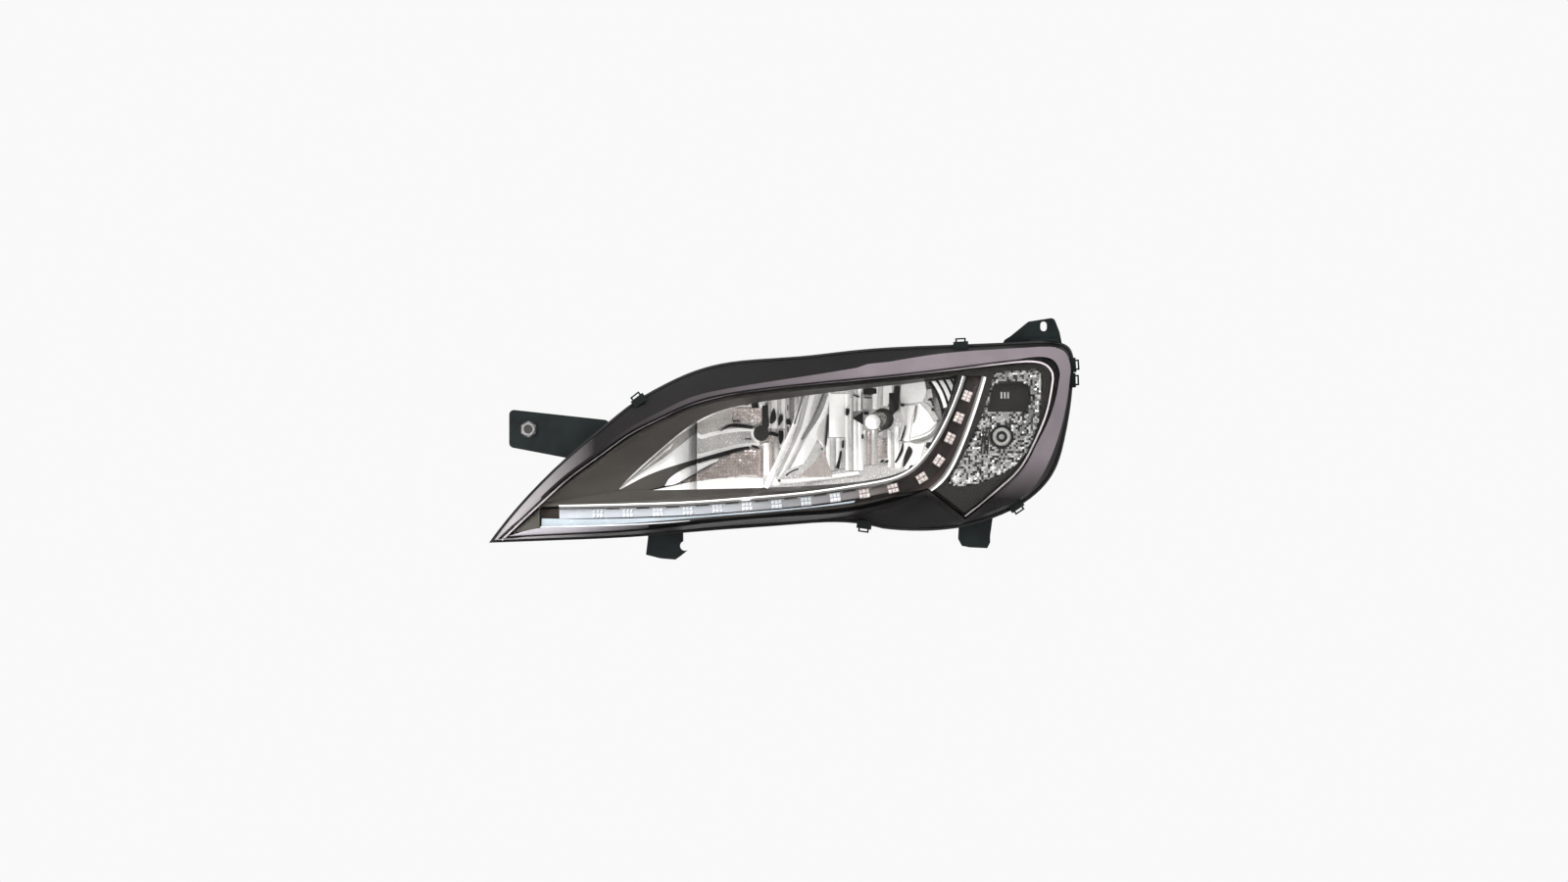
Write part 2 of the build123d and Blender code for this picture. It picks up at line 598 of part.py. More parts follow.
def make_high_shield():
    """The round cap ahead of the high-beam bulb, on its upright post."""
    front = HIGH_VERTEX - 52
    cap = rod(9.6, HIGH_X, HIGH_Z, front, front + 14) - rod(8.4, HIGH_X, HIGH_Z, front + 2, front + 15)
    post = block(HIGH_X + 1.0, HIGH_X + 8.5, front + 3, front + 12, HIGH_Z + 5, HIGH_Z + 34)
    foot = block(HIGH_X + 2.5, HIGH_X + 7.0, front + 3, HIGH_VERTEX - 6, HIGH_Z + 32, HIGH_Z + 34)
    shield = cap + post - rod(8.4, HIGH_X, HIGH_Z, front + 2, front + 15) + foot
    return shield - dish_metal(HIGH_X, HIGH_Z, HIGH_VERTEX)


def make_low_shield():
    """The hook-shaped ring beside the low-beam bulb, on its stalk."""
    front = LOW_VERTEX - 50
    band = rod(13.5, LOW_X + 6.3, LOW_Z + 3.5, front, front + 8)
    band -= rod(8.6, LOW_X + 2.8, LOW_Z + 3.5, front - 1, front + 9)
    band -= block(LOW_X - 20, LOW_X + 4, front - 1, front + 9, LOW_Z - 14, LOW_Z + 12)
    stalk = block(LOW_X + 4, LOW_X + 7, front + 2, LOW_VERTEX - 3, LOW_Z - 9.8, LOW_Z - 7.8)
    upright_arm = block(LOW_X + 14, LOW_X + 20, front + 1, front + 7, LOW_Z + 9, LOW_Z + 36)
    shield = band + stalk + upright_arm
    return shield - dish_metal(LOW_X, LOW_Z, LOW_VERTEX)


def dish_metal(x, z, vertex):
    """Everything behind a dish's bright face, near its middle."""
    return rod(60, x, z, vertex - 60, vertex + 20) - bowl(x, z, vertex - 0.05, FOCUS, 118)


# ---- Rear covers, adjusters and electrics ----
def make_cover(x, z, radius):
    """A press-on cap with a pull tab."""
    cap = rod(radius + 3, x, z, NECK_END + 2, NECK_END + 6)
    cap += tube(radius - NECK_WALL - 0.4, radius - NECK_WALL - 2.6, x, z, NECK_END - 10, NECK_END + 3)
    cap += tube(radius - 8, radius - 11, x, z, NECK_END + 5, NECK_END + 9)
    tab = block(x - 8, x + 8, NECK_END + 5, NECK_END + 16, z - 1.5, z + 1.5)
    return cap + tab


def make_gasket(x, z, radius):
    return tube(radius - 0.1, radius - NECK_WALL + 0.1, x, z, NECK_END, NECK_END + 1.8)


def make_level_motor():
    body = rod(21, PIVOT_X, LEVEL_Z, REAR_Y, REAR_Y + 30)
    body += rod(11.8, PIVOT_X, LEVEL_Z, REAR_Y - 8, REAR_Y + 1)
    for x, z in screw_spots()[:2]:
        body += rod(5.5, x, z, REAR_Y, REAR_Y + 3)
        step = 0.75
        body += rod(5.0, PIVOT_X + (x - PIVOT_X) * step, LEVEL_Z + (z - LEVEL_Z) * step, REAR_Y, REAR_Y + 3)
        body -= rod(1.9, x, z, REAR_Y - 1, REAR_Y + 4)
    body += rounded_block(PIVOT_X - 9, PIVOT_X + 9, REAR_Y + 6, REAR_Y + 22, LEVEL_Z + 16, LEVEL_Z + 30, 2)
    body -= block(PIVOT_X - 7, PIVOT_X + 7, REAR_Y + 8, REAR_Y + 20, LEVEL_Z + 22, LEVEL_Z + 31)
    body -= rod(ROD_R + RUNNING_GAP, PIVOT_X, LEVEL_Z, REAR_Y - 9, REAR_Y + 24)
    body -= rod(5.0 + RUNNING_GAP, PIVOT_X, LEVEL_Z, REAR_Y + 25.5, REAR_Y + 31)
    return body


def make_level_rod():
    shaft = Pos(PIVOT_X, PIVOT_Y, LEVEL_Z) * Sphere(BALL_R)
    return shaft + rod(ROD_R, PIVOT_X, LEVEL_Z, PIVOT_Y + 3, REAR_Y + 15)


def knurled_knob(x, z, radius, y_start, y_end, teeth):
    knob = rod(radius, x, z, y_start, y_end)
    for index in range(teeth):
        angle = 2 * pi * index / teeth
        knob -= rod(1.1, x + radius * cos(angle), z + radius * sin(angle), y_start - 1, y_end + 1)
    return knob


def make_level_knob():
    knob = rod(5.0, PIVOT_X, LEVEL_Z, REAR_Y + 26, REAR_Y + 33)
    knob += knurled_knob(PIVOT_X, LEVEL_Z, 12.0, REAR_Y + 31, REAR_Y + 40, 18)
    return knob - block(PIVOT_X - 8, PIVOT_X + 8, REAR_Y + 38, REAR_Y + 41, LEVEL_Z - 1, LEVEL_Z + 1)


def make_aim_spindle():
    spindle = Pos(AIM_X, PIVOT_Y, PIVOT_Z) * Sphere(BALL_R)
    return spindle + rod(ROD_R, AIM_X, PIVOT_Z, PIVOT_Y + 3, REAR_Y + 12)


def make_aim_knob():
    knob = rod(9.0, AIM_X, PIVOT_Z, REAR_Y - 7, REAR_Y + 2)
    knob += knurled_knob(AIM_X, PIVOT_Z, 14.0, REAR_Y + 0.4, REAR_Y + 11, 20)
    return knob - rod(ROD_R + RUNNING_GAP, AIM_X, PIVOT_Z, REAR_Y - 8, REAR_Y + 12)


def make_connector():
    x, z = SOCKET_X, SOCKET_Z
    shell = rounded_block(x - SOCKET_HALF_W, x + SOCKET_HALF_W, REAR_Y, REAR_Y + 22, z - SOCKET_HALF_H,
                          z + SOCKET_HALF_H, 4)
    shell += block(x - 18.8, x + 18.8, REAR_Y - 6, REAR_Y + 1, z - 9.8, z + 9.8)
    shell -= rounded_block(x - 20, x + 20, REAR_Y + 3, REAR_Y + 23, z - 11, z + 11, 3)
    return shell


def make_pins():
    pins = []
    for column in range(7):
        for row in (-4.5, 4.5):
            x = SOCKET_X + (column - 3) * 5.0
            z = SOCKET_Z + row
            pins.append(block(x - 0.6, x + 0.6, REAR_Y + 3, REAR_Y + 11, z - 0.6, z + 0.6))
    return pins


def make_driver_module():
    x, z, w, h = MODULE_X, MODULE_Z, MODULE_HALF_W, MODULE_HALF_H
    body = rounded_block(x - w, x + w, REAR_Y, REAR_Y + 8, z - h, z + h, 4)
    for index in range(7):
        fin_x = x - 21 + 7 * index
        body += block(fin_x - 1, fin_x + 1, REAR_Y + 7, REAR_Y + 15, z - h + 10, z + h - 10)
    for sx, sz in screw_spots()[2:]:
        body -= rod(1.9, sx, sz, REAR_Y - 1, REAR_Y + 9)
    return body


def make_rear_screws():
    screws = []
    for index, (x, z) in enumerate(screw_spots()):
        seat = REAR_Y + (3 if index < 2 else 8)
        screw = rod(1.75, x, z, REAR_Y - 5, seat + 0.5) + rod(3.8, x, z, seat, seat + 2.6)
        screws.append(screw - rod(1.6, x, z, seat + 1.2, seat + 3))
    return screws


def make_vent(x, z):
    stem = tube(5.0, 2.5, x, z, REAR_Y - 5, REAR_Y + 4)
    return stem + rod(8.0, x, z, REAR_Y + 2, REAR_Y + 7) - rod(2.5, x, z, REAR_Y - 6, REAR_Y + 4)


# ---- Mounting metalwork ----
def front_plate(points, y_front, thick, corner=6):
    face = make_face(FilletPolyline(*[(x, z) for x, z in points], radius=corner, close=True).edges())
    plate = extrude(Plane.XZ * face, amount=-thick)
    return Pos(0, y_front, 0) * plate


def make_arm():
    outline = [(-341, 35), (-222, 22), (-206, 2), (-206, -30), (-262, -26), (-341, -11)]
    plate = front_plate(outline, ARM_FRONT, ARM_THICK)
    rib = front_plate([(-336, 30), (-215, 18.5), (-215, 12.5), (-330, 24)], ARM_FRONT + ARM_THICK - 0.5, 8, 1)
    side = block(-290, -180, ARM_FRONT, ARM_FRONT + 78, -24, 18) & tub_form(ARM_THICK)
    arm = plate + rib + side - tub_form()
    arm -= rod(ARM_HOLE_R, NUT_X, NUT_Z, ARM_FRONT - 1, ARM_FRONT + ARM_THICK + 1)
    return arm


ARM_SCREWS = [(-231.7, 8.0), (-227.6, 28.0)]   # x and y on the arm's side plate
SIDE_LEAN = 11.7                               # the side plate's lean from the Y axis, in degrees


def make_arm_screws():
    """Two flange-head screws that hold the arm to the side of the housing."""
    screws = []
    for x, y in ARM_SCREWS:
        screw = Cylinder(6.5, 1.6, align=(Align.CENTER, Align.CENTER, Align.MIN))
        screw += extrude(RegularPolygon(4.6, 6), amount=5.5)
        screws.append(Pos(x, y, -3) * Rot(0, 0, -SIDE_LEAN) * Rot(0, -90, 0) * screw - tub_form(ARM_THICK))
    return screws


def make_arm_nut():
    """A flanged hex nut with a blind bore and a shallow round recess in its front."""
    hexagon = extrude(Plane.XZ * RegularPolygon(8.0, 6), amount=7)
    nut = Pos(NUT_X, ARM_FRONT - 1.6, NUT_Z) * hexagon
    nut += rod(10.0, NUT_X, NUT_Z, ARM_FRONT - 1.8, ARM_FRONT)
    nut -= rod(NUT_RECESS_R, NUT_X, NUT_Z, ARM_FRONT - 10, ARM_FRONT - NUT_BORE_LENGTH - 1.2)
    return nut - rod(NUT_BORE_R, NUT_X, NUT_Z, ARM_FRONT - NUT_BORE_LENGTH, ARM_FRONT + 1)


def make_tab():
    points = [(252, 112), (276, 127), (298, 145), (330, 150), (337, 132), (341, 112)]
    tab = front_plate(points, TAB_FRONT, TAB_THICK)
    tab += block(300, 336, TAB_FRONT - 6, TAB_FRONT + 1, 117, 124)
    upright_slot = Rot(0, 0, 90) * SlotOverall(TAB_SLOT_TALL, TAB_SLOT_WIDE)
    slot = extrude(Plane.XZ * upright_slot, amount=30, both=True)
    tab = tab - Pos(TAB_SLOT_X, TAB_FRONT, TAB_SLOT_Z) * slot - tub_form() - slab(RIM, 9, -12)
    return max(tab.solids(), key=lambda solid: solid.volume)


# Outlines of the two feet's legs from the front, the x of each foot's hole and the underside of its sole.
FEET = [
    ([(-171, -98), (-128.5, -98), (-128.5, -131), (-123, -136.5), (-131, -143), (-138, -148), (-156, -146.5),
      (-174, -142), (-171.5, -121)], -151.0, -141.0),
    ([(210.5, -88), (251.5, -88), (251.5, -100), (248.5, -121), (248.5, -129), (245, -136), (223, -135),
      (213.5, -133), (209, -124.5)], 230.0, -132.0),
]
FOOT_NOTCH_X, FOOT_NOTCH_Z, FOOT_NOTCH_R = -126.5, -131.2, 5.9
FOOT_SOLE_HALF = 16.5
FOOT_THICK = 3.0


def foot_y(x):
    return lean_y(x, -118) + 22


def make_foot(outline, x, sole_z):
    """An angle bracket: an upright leg and a sole with a hole."""
    y = foot_y(x)
    foot = front_plate(outline, y - FOOT_THICK, FOOT_THICK, 1)
    foot += block(x - FOOT_SOLE_HALF, x + FOOT_SOLE_HALF, y - 1, y + 28, sole_z, sole_z + FOOT_THICK)
    for side in (-15.0, 15.0):
        foot += block(x + side - 1.5, x + side + 1.5, y - 1, y + 20, sole_z + 2, sole_z + 14)
    foot -= Pos(x, y + 13, sole_z) * Cylinder(FOOT_HOLE_R, 12)
    foot -= rod(FOOT_NOTCH_R, FOOT_NOTCH_X, FOOT_NOTCH_Z, y - 5, y + 2)
    foot = foot - tub_form() - slab(RIM, 1, -12)
    return max(foot.solids(), key=lambda solid: solid.volume)


# Rim clips: place on the rim, and the outward direction in degrees clockwise from up.
CLIP_SPOTS = [(-184, 47.5, -38), (213, 117, -3), (354.5, 91, 86), (354, 72, 88), (92, -108.5, 188),
              (282, -85.5, 146)]


def make_clip(x, z, turn):
    """A spring clip over the rim, square to the edge, with a raised hoop."""
    y = lean_y(x, z)
    clip = block(-9, 9, -7, 17, 0.6, 2.6) + block(-9, 9, -7, -5, -7, 0.8) + block(-9, 9, 15, 17, -4, 0.8)
    clip += block(-6.5, 6.5, 0, 8, 2.4, 7.0) - block(-4.5, 4.5, -1, 9, 2.7, 5.2)
    placed = Pos(x, y, z) * Rot(0, turn, 0) * clip
    return placed - lens_body(0) - slab(RIM, 1, -12) - tub_form()


# ---- The assembly ----
def build_nodes():
    high_glass, high_base, high_plug = main_bulb(HIGH_X, HIGH_Z, HIGH_VERTEX)
    low_glass, low_base, low_plug = main_bulb(LOW_X, LOW_Z, LOW_VERTEX)
    turn_holder, turn_bulb = bayonet_lamp(TURN_X, TURN_Z, 18.0, 12.0)
    side_holder, side_bulb = bayonet_lamp(SIDE_X, SIDE_Z, 15.0, 9.5)
    return {
        "housing": [make_housing()],
        "lens": [make_lens()],
        "lens_seal": [make_lens_seal()],
        "trim_bezel": [make_trim_bezel()],
        "drl_inner_blade": [make_blade()],
        "drl_outer_blade": [make_outer_blade()],
        "drl_notch_blade": [make_notch_blade()],
        "drl_cup_strip": [make_cup_strip()],
        "drl_led_board": [make_led_board()],
        "drl_leds": make_leds(),
        "drl_light_guide": [make_light_guide()],
        "drl_strip_lens": [make_strip_lens()],
        "wing_reflector": [make_wing_reflector()],
        "low_beam_louvres": [make_louvres()],
        "corner_reflector": [make_corner_reflector()],
        "corner_inner_lens": [make_corner_lens()],
        "turn_signal_holder": [turn_holder],
        "turn_signal_bulb": [turn_bulb],
        "side_light_holder": [side_holder],
        "side_light_bulb": [side_bulb],
        "high_beam_reflector": [make_high_dish()],
        "low_beam_reflector": [make_low_dish()],
        "reflector_carrier": [make_carrier()],
        "carrier_ball_sockets": make_ball_sockets(),
        "pivot_stud": [make_pivot_stud()],
        "main_bulb_glass": [high_glass, low_glass],
        "main_bulb_base": [high_base, low_base],
        "main_bulb_plug": [high_plug, low_plug],
        "bulb_retaining_spring": [make_retaining_spring(HIGH_X, HIGH_Z, HIGH_VERTEX),
                                  make_retaining_spring(LOW_X, LOW_Z, LOW_VERTEX)],
        "high_beam_shield": [make_high_shield()],
        "low_beam_shield": [make_low_shield()],
        "high_beam_cover": [make_cover(HIGH_X, HIGH_Z, HIGH_NECK)],
        "low_beam_cover": [make_cover(LOW_X, LOW_Z, LOW_NECK)],
        "cover_gaskets": [make_gasket(HIGH_X, HIGH_Z, HIGH_NECK), make_gasket(LOW_X, LOW_Z, LOW_NECK)],
        "levelling_motor": [make_level_motor()],
        "levelling_rod": [make_level_rod()],
        "levelling_knob": [make_level_knob()],
        "aim_spindle": [make_aim_spindle()],
        "aim_knob": [make_aim_knob()],
        "connector_socket": [make_connector()],
        "connector_pins": make_pins(),
        "led_driver_module": [make_driver_module()],
        "rear_wall_screws": make_rear_screws(),
        "breather_caps": [make_vent(x, z) for x, z in VENT_SPOTS],
        "inner_arm": [make_arm()],
        "arm_nut": [make_arm_nut()],
        "arm_screws": make_arm_screws(),
        "upper_tab": [make_tab()],
        "lower_feet": [make_foot(*foot) for foot in FEET],
        "rim_clips": [make_clip(*spot) for spot in CLIP_SPOTS],
    }


def settle(shapes):
    """One node: its solids, moved so that the origin is the arm's nut."""
    solids = [solid for shape in shapes for solid in shape.solids()]
    moved = [solid.moved(Location(-ORIGIN)) for solid in solids]
    return moved[0] if len(moved) == 1 else Compound(children=moved)


def main():
    os.makedirs("parts", exist_ok=True)
    for name, shapes in build_nodes().items():
        node = settle(shapes)
        node.label = name
        export_step(node, f"parts/{name}.step")


if __name__ == "__main__":
    main()
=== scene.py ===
import bmesh
import bpy
import math
import random
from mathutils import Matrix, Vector


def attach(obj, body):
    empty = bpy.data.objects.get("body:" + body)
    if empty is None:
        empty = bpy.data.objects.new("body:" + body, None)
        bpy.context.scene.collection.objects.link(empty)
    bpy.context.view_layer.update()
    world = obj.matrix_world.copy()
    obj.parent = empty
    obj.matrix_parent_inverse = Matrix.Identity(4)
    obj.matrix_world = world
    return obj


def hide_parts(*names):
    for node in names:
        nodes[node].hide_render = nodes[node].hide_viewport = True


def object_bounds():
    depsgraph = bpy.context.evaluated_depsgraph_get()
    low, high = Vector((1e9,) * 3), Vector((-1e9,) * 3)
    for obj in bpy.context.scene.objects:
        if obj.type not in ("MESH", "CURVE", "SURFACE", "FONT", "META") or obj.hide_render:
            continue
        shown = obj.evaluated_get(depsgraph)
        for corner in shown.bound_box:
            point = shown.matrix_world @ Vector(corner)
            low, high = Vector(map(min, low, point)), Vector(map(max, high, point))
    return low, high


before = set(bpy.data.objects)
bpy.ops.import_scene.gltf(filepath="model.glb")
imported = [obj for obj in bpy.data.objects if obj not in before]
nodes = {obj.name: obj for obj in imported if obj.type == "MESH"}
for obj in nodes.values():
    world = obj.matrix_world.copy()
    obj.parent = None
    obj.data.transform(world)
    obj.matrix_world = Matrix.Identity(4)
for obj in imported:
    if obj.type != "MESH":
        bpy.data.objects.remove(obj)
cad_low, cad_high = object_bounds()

# Shapes are laid out in the lamp's own frame, in millimetres: X outwards, Y back into the vehicle, Z up, with
# zero near the middle of the lens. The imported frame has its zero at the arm's nut, in metres.
NUT = Vector((-317.4, -33.0, 10.8))
SWEEP_X, SWEEP_Z = 0.28, 0.20      # how the lens plane runs back outwards and upwards
FOCUS = 29.0
HIGH = (-34.0, 6.0, 80.0)          # x, z and vertex y of the high-beam dish
LOW = (110.0, 20.0, 125.0)
SIDE = (263.0, 1.7)                # middle of the side light
WING_END = -109.5                  # the fixed wing ends here, behind the edge of the moving dish
WING_BEHIND = 21.0                 # and this far behind the dish's face, clear of its swing

rng = random.Random(7)


# ---- Frame helpers ----
def at(x, y, z):
    """A point of the lamp frame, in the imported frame."""
    return (Vector((x, y, z)) - NUT) / 1000


def lean_y(x, z, ahead=0.0):
    """Y of a point this far ahead of the swept flange plane."""
    return SWEEP_X * x + SWEEP_Z * z - ahead


def leaning(ahead):
    """A depth function that keeps this far ahead of the flange plane."""
    return lambda x, z: lean_y(x, z, ahead)


def dish_y(dish, x, z, ahead=1.6):
    """Y of a point this far ahead of a dish's bright face."""
    dx, dz = x - dish[0], z - dish[1]
    return dish[2] - (dx * dx + dz * dz) / (4 * FOCUS) - ahead


def high_y(x, z):
    return dish_y(HIGH, x, z)


def low_y(x, z):
    return dish_y(LOW, x, z)


def wing_y(x, z):
    """The fixed wing scoop: shallow at its tip, and sinking behind the moving dish at its other end."""
    share = min(max((x + 208) / 95, 0), 1)
    own = lean_y(x, z) + 13 + 44 * share ** 1.2
    sink = min(max((x + 150) / 32, 0), 1)
    sink = sink * sink * (3 - 2 * sink)
    return own + (high_y(x, z) + WING_BEHIND - own) * sink


# ---- Material helpers ----
def new_tree(name):
    material = bpy.data.materials.new(name)
    material.use_nodes = True
    tree = material.node_tree
    tree.nodes.clear()
    return material, tree, tree.nodes.new("ShaderNodeOutputMaterial")


def node(tree, kind, **values):
    """A node, with the values of its named input sockets."""
    made = tree.nodes.new(kind)
    for key, value in values.items():
        made.inputs[key.replace("_", " ")].default_value = value
    return made


def noise(tree, scale, detail=3.0):
    place = tree.nodes.new("ShaderNodeTexCoord")
    made = node(tree, "ShaderNodeTexNoise", Scale=scale, Detail=detail)
    tree.links.new(place.outputs["Object"], made.inputs["Vector"])
    return made


def toned(tree, source, dark, light):
    """A colour that wanders between two tones."""
    ramp = tree.nodes.new("ShaderNodeValToRGB")
    for stop, position, tone in zip(ramp.color_ramp.elements, (0.35, 0.65), (dark, light)):
        stop.position = position
        stop.color = (*tone, 1)
    tree.links.new(source.outputs["Fac"], ramp.inputs["Fac"])
    return ramp


def add_grain(tree, shader, grain, bump, rough=None, spread=0.2):
    """Fine relief, and a roughness that wanders with it, from a grain in 1/m."""
    fine = noise(tree, grain, 2.0)
    relief = node(tree, "ShaderNodeBump", Strength=bump, Distance=0.0002)
    tree.links.new(fine.outputs["Fac"], relief.inputs["Height"])
    tree.links.new(relief.outputs["Normal"], shader.inputs["Normal"])
    if rough is not None:
        span = tree.nodes.new("ShaderNodeMapRange")
        values = {"From Min": 0.3, "From Max": 0.7,
                  "To Min": rough * (1 - spread), "To Max": rough * (1 + spread)}
        for socket, value in values.items():
            span.inputs[socket].default_value = value
        tree.links.new(fine.outputs["Fac"], span.inputs["Value"])
        tree.links.new(span.outputs["Result"], shader.inputs["Roughness"])
    return fine


def show(tree, out, shader, clear=None):
    """Shows a shader; clear is its share and a tint, for a plastic that is partly seen through."""
    if clear is None:
        tree.links.new(shader.outputs["BSDF"], out.inputs["Surface"])
        return
    solid, tint = clear
    sheet = node(tree, "ShaderNodeBsdfTransparent", Color=(*tint, 1))
    mix = node(tree, "ShaderNodeMixShader", Fac=solid)
    tree.links.new(sheet.outputs["BSDF"], mix.inputs[1])
    tree.links.new(shader.outputs["BSDF"], mix.inputs[2])
    tree.links.new(mix.outputs["Shader"], out.inputs["Surface"])


def surface(name, dark, light, rough, metal=0.0, grain=900.0, bump=0.05, patch=30.0, shine=0.5, clear=None):
    """A Principled surface: tone from a broad noise, gloss and fine relief from a grain in 1/m."""
    material, tree, out = new_tree(name)
    shader = node(tree, "ShaderNodeBsdfPrincipled", Metallic=metal, Specular_IOR_Level=shine)
    tone = toned(tree, noise(tree, patch), dark, light)
    tree.links.new(tone.outputs["Color"], shader.inputs["Base Color"])
    add_grain(tree, shader, grain, bump, rough)
    show(tree, out, shader, clear)
    return material


DIRECTIONS = {"X": (1, 0, 0), "Z": (0, 0, 1), "BELOW": (0.1586, 0, -1)}   # BELOW: down from the sloped top


def position_ramp(tree, axis, start, end):
    """0 to 1 along a direction of the lamp frame, between two places in millimetres."""
    place = tree.nodes.new("ShaderNodeTexCoord")
    along = tree.nodes.new("ShaderNodeVectorMath")
    along.operation = "DOT_PRODUCT"
    along.inputs[1].default_value = DIRECTIONS[axis]
    tree.links.new(place.outputs["Object"], along.inputs[0])
    shift = NUT.dot(Vector(DIRECTIONS[axis]))
    span = tree.nodes.new("ShaderNodeMapRange")
    span.inputs["From Min"].default_value = (start - shift) / 1000
    span.inputs["From Max"].default_value = (end - shift) / 1000
    tree.links.new(along.outputs["Value"], span.inputs["Value"])
    return span


def graded(name, ramps, near, far, rough, clear=None, shine=0.4, grain=1500.0, bump=0.03):
    """Plastic whose tone shifts from near to far along the lamp."""
    material, tree, out = new_tree(name)
    shader = node(tree, "ShaderNodeBsdfPrincipled", Specular_IOR_Level=shine)
    broad = noise(tree, 25.0)
    share = position_ramp(tree, *ramps[0])
    for ramp in ramps[1:]:
        product = tree.nodes.new("ShaderNodeMath")
        product.operation = "MULTIPLY"
        tree.links.new(share.outputs[0], product.inputs[0])
        tree.links.new(position_ramp(tree, *ramp).outputs[0], product.inputs[1])
        share = product
    mix = tree.nodes.new("ShaderNodeMix")
    mix.data_type = "RGBA"
    tree.links.new(share.outputs[0], mix.inputs["Factor"])
    for socket, tone in ((6, near), (7, far)):
        wander = toned(tree, broad, tone, [c * 1.15 for c in tone])
        tree.links.new(wander.outputs["Color"], mix.inputs[socket])
    tree.links.new(mix.outputs[2], shader.inputs["Base Color"])
    add_grain(tree, shader, grain, bump, rough, 0.15)
    show(tree, out, shader, clear)
    return material


def glazing(name, tint, rough, bend=1.45):
    """Clear moulded plastic: a clean see-through sheet with a Fresnel gloss."""
    material, tree, out = new_tree(name)
    clear = tree.nodes.new("ShaderNodeBsdfTransparent")
    gloss = node(tree, "ShaderNodeBsdfGlossy", Roughness=rough)
    fine = add_grain(tree, gloss, 300.0, 0.01)
    tone = toned(tree, fine, [c * 0.985 for c in tint], tint)
    tree.links.new(tone.outputs["Color"], clear.inputs["Color"])
    edge = node(tree, "ShaderNodeFresnel", IOR=bend)
    mix = tree.nodes.new("ShaderNodeMixShader")
    tree.links.new(edge.outputs["Fac"], mix.inputs["Fac"])
    tree.links.new(clear.outputs["BSDF"], mix.inputs[1])
    tree.links.new(gloss.outputs["BSDF"], mix.inputs[2])
    tree.links.new(mix.outputs["Shader"], out.inputs["Surface"])
    return material


# ---- Materials ----
def grey(level):
    return (level, level, level)


def make_metals():
    """Vacuum-metallised and bare metals. The white, pale grey, beige-grey, warm grey and dark grey coats laid
    in patches on the reflectors are painted reflections: lit and shaded copies of the one metallised finish.
    """
    return {
        "chrome": surface("bright_metal", (0.86, 0.85, 0.84), (0.95, 0.94, 0.93), 0.09, 1.0, 500, 0.02),
        "dish": surface("dish_metal", (0.78, 0.77, 0.76), (0.90, 0.89, 0.88), 0.24, 0.6, 500, 0.02),
        "grey_painted_reflection": surface("grey_painted_reflection_metal", (0.52, 0.51, 0.50), (0.66, 0.65, 0.64), 0.30, 0.35, 800),
        "lip": surface("lip_painted_reflection", (0.40, 0.385, 0.37), (0.54, 0.52, 0.50), 0.28, 0.35, 700, 0.04),
        "warm_painted_reflection": surface("warm_painted_reflection_metal", (0.66, 0.58, 0.56), (0.80, 0.73, 0.70), 0.28, 0.8, 900, 0.08),
        "shade": surface("shade_metal", (0.24, 0.24, 0.23), (0.34, 0.34, 0.33), 0.28, 0.4, 600),
        "white": surface("white_painted_reflection", (0.93, 0.93, 0.92), (0.98, 0.98, 0.97), 0.30, 0.08, 800, 0.03),
        "corner_bowl": surface("corner_bowl", grey(0.22), grey(0.38), 0.24, 0.6, 500),
        "nut": surface("nut_steel", grey(0.10), grey(0.17), 0.36, 0.5, 900, 0.1),
        "base": surface("base_metal", (0.55, 0.53, 0.48), (0.68, 0.66, 0.60), 0.28, 1.0, 700, 0.08),
        "steel": surface("steel_bright", (0.55, 0.56, 0.56), (0.72, 0.73, 0.73), 0.24, 1.0, 900, 0.1),
        "tin": surface("pin_tin", (0.62, 0.60, 0.52), (0.74, 0.72, 0.64), 0.22, 1.0, 900),
        "alloy": surface("module_alloy", (0.52, 0.53, 0.54), (0.62, 0.63, 0.64), 0.38, 1.0, 1200, 0.2),
        "steel_black": surface("steel_black", (0.002, 0.003, 0.003), (0.004, 0.006, 0.006), 0.34, grain=1600,
                               bump=0.15, shine=0.12),
        "shield": surface("shield_black", grey(0.006), (0.012, 0.011, 0.010), 0.45, grain=1000, bump=0.1,
                          shine=0.2),
    }


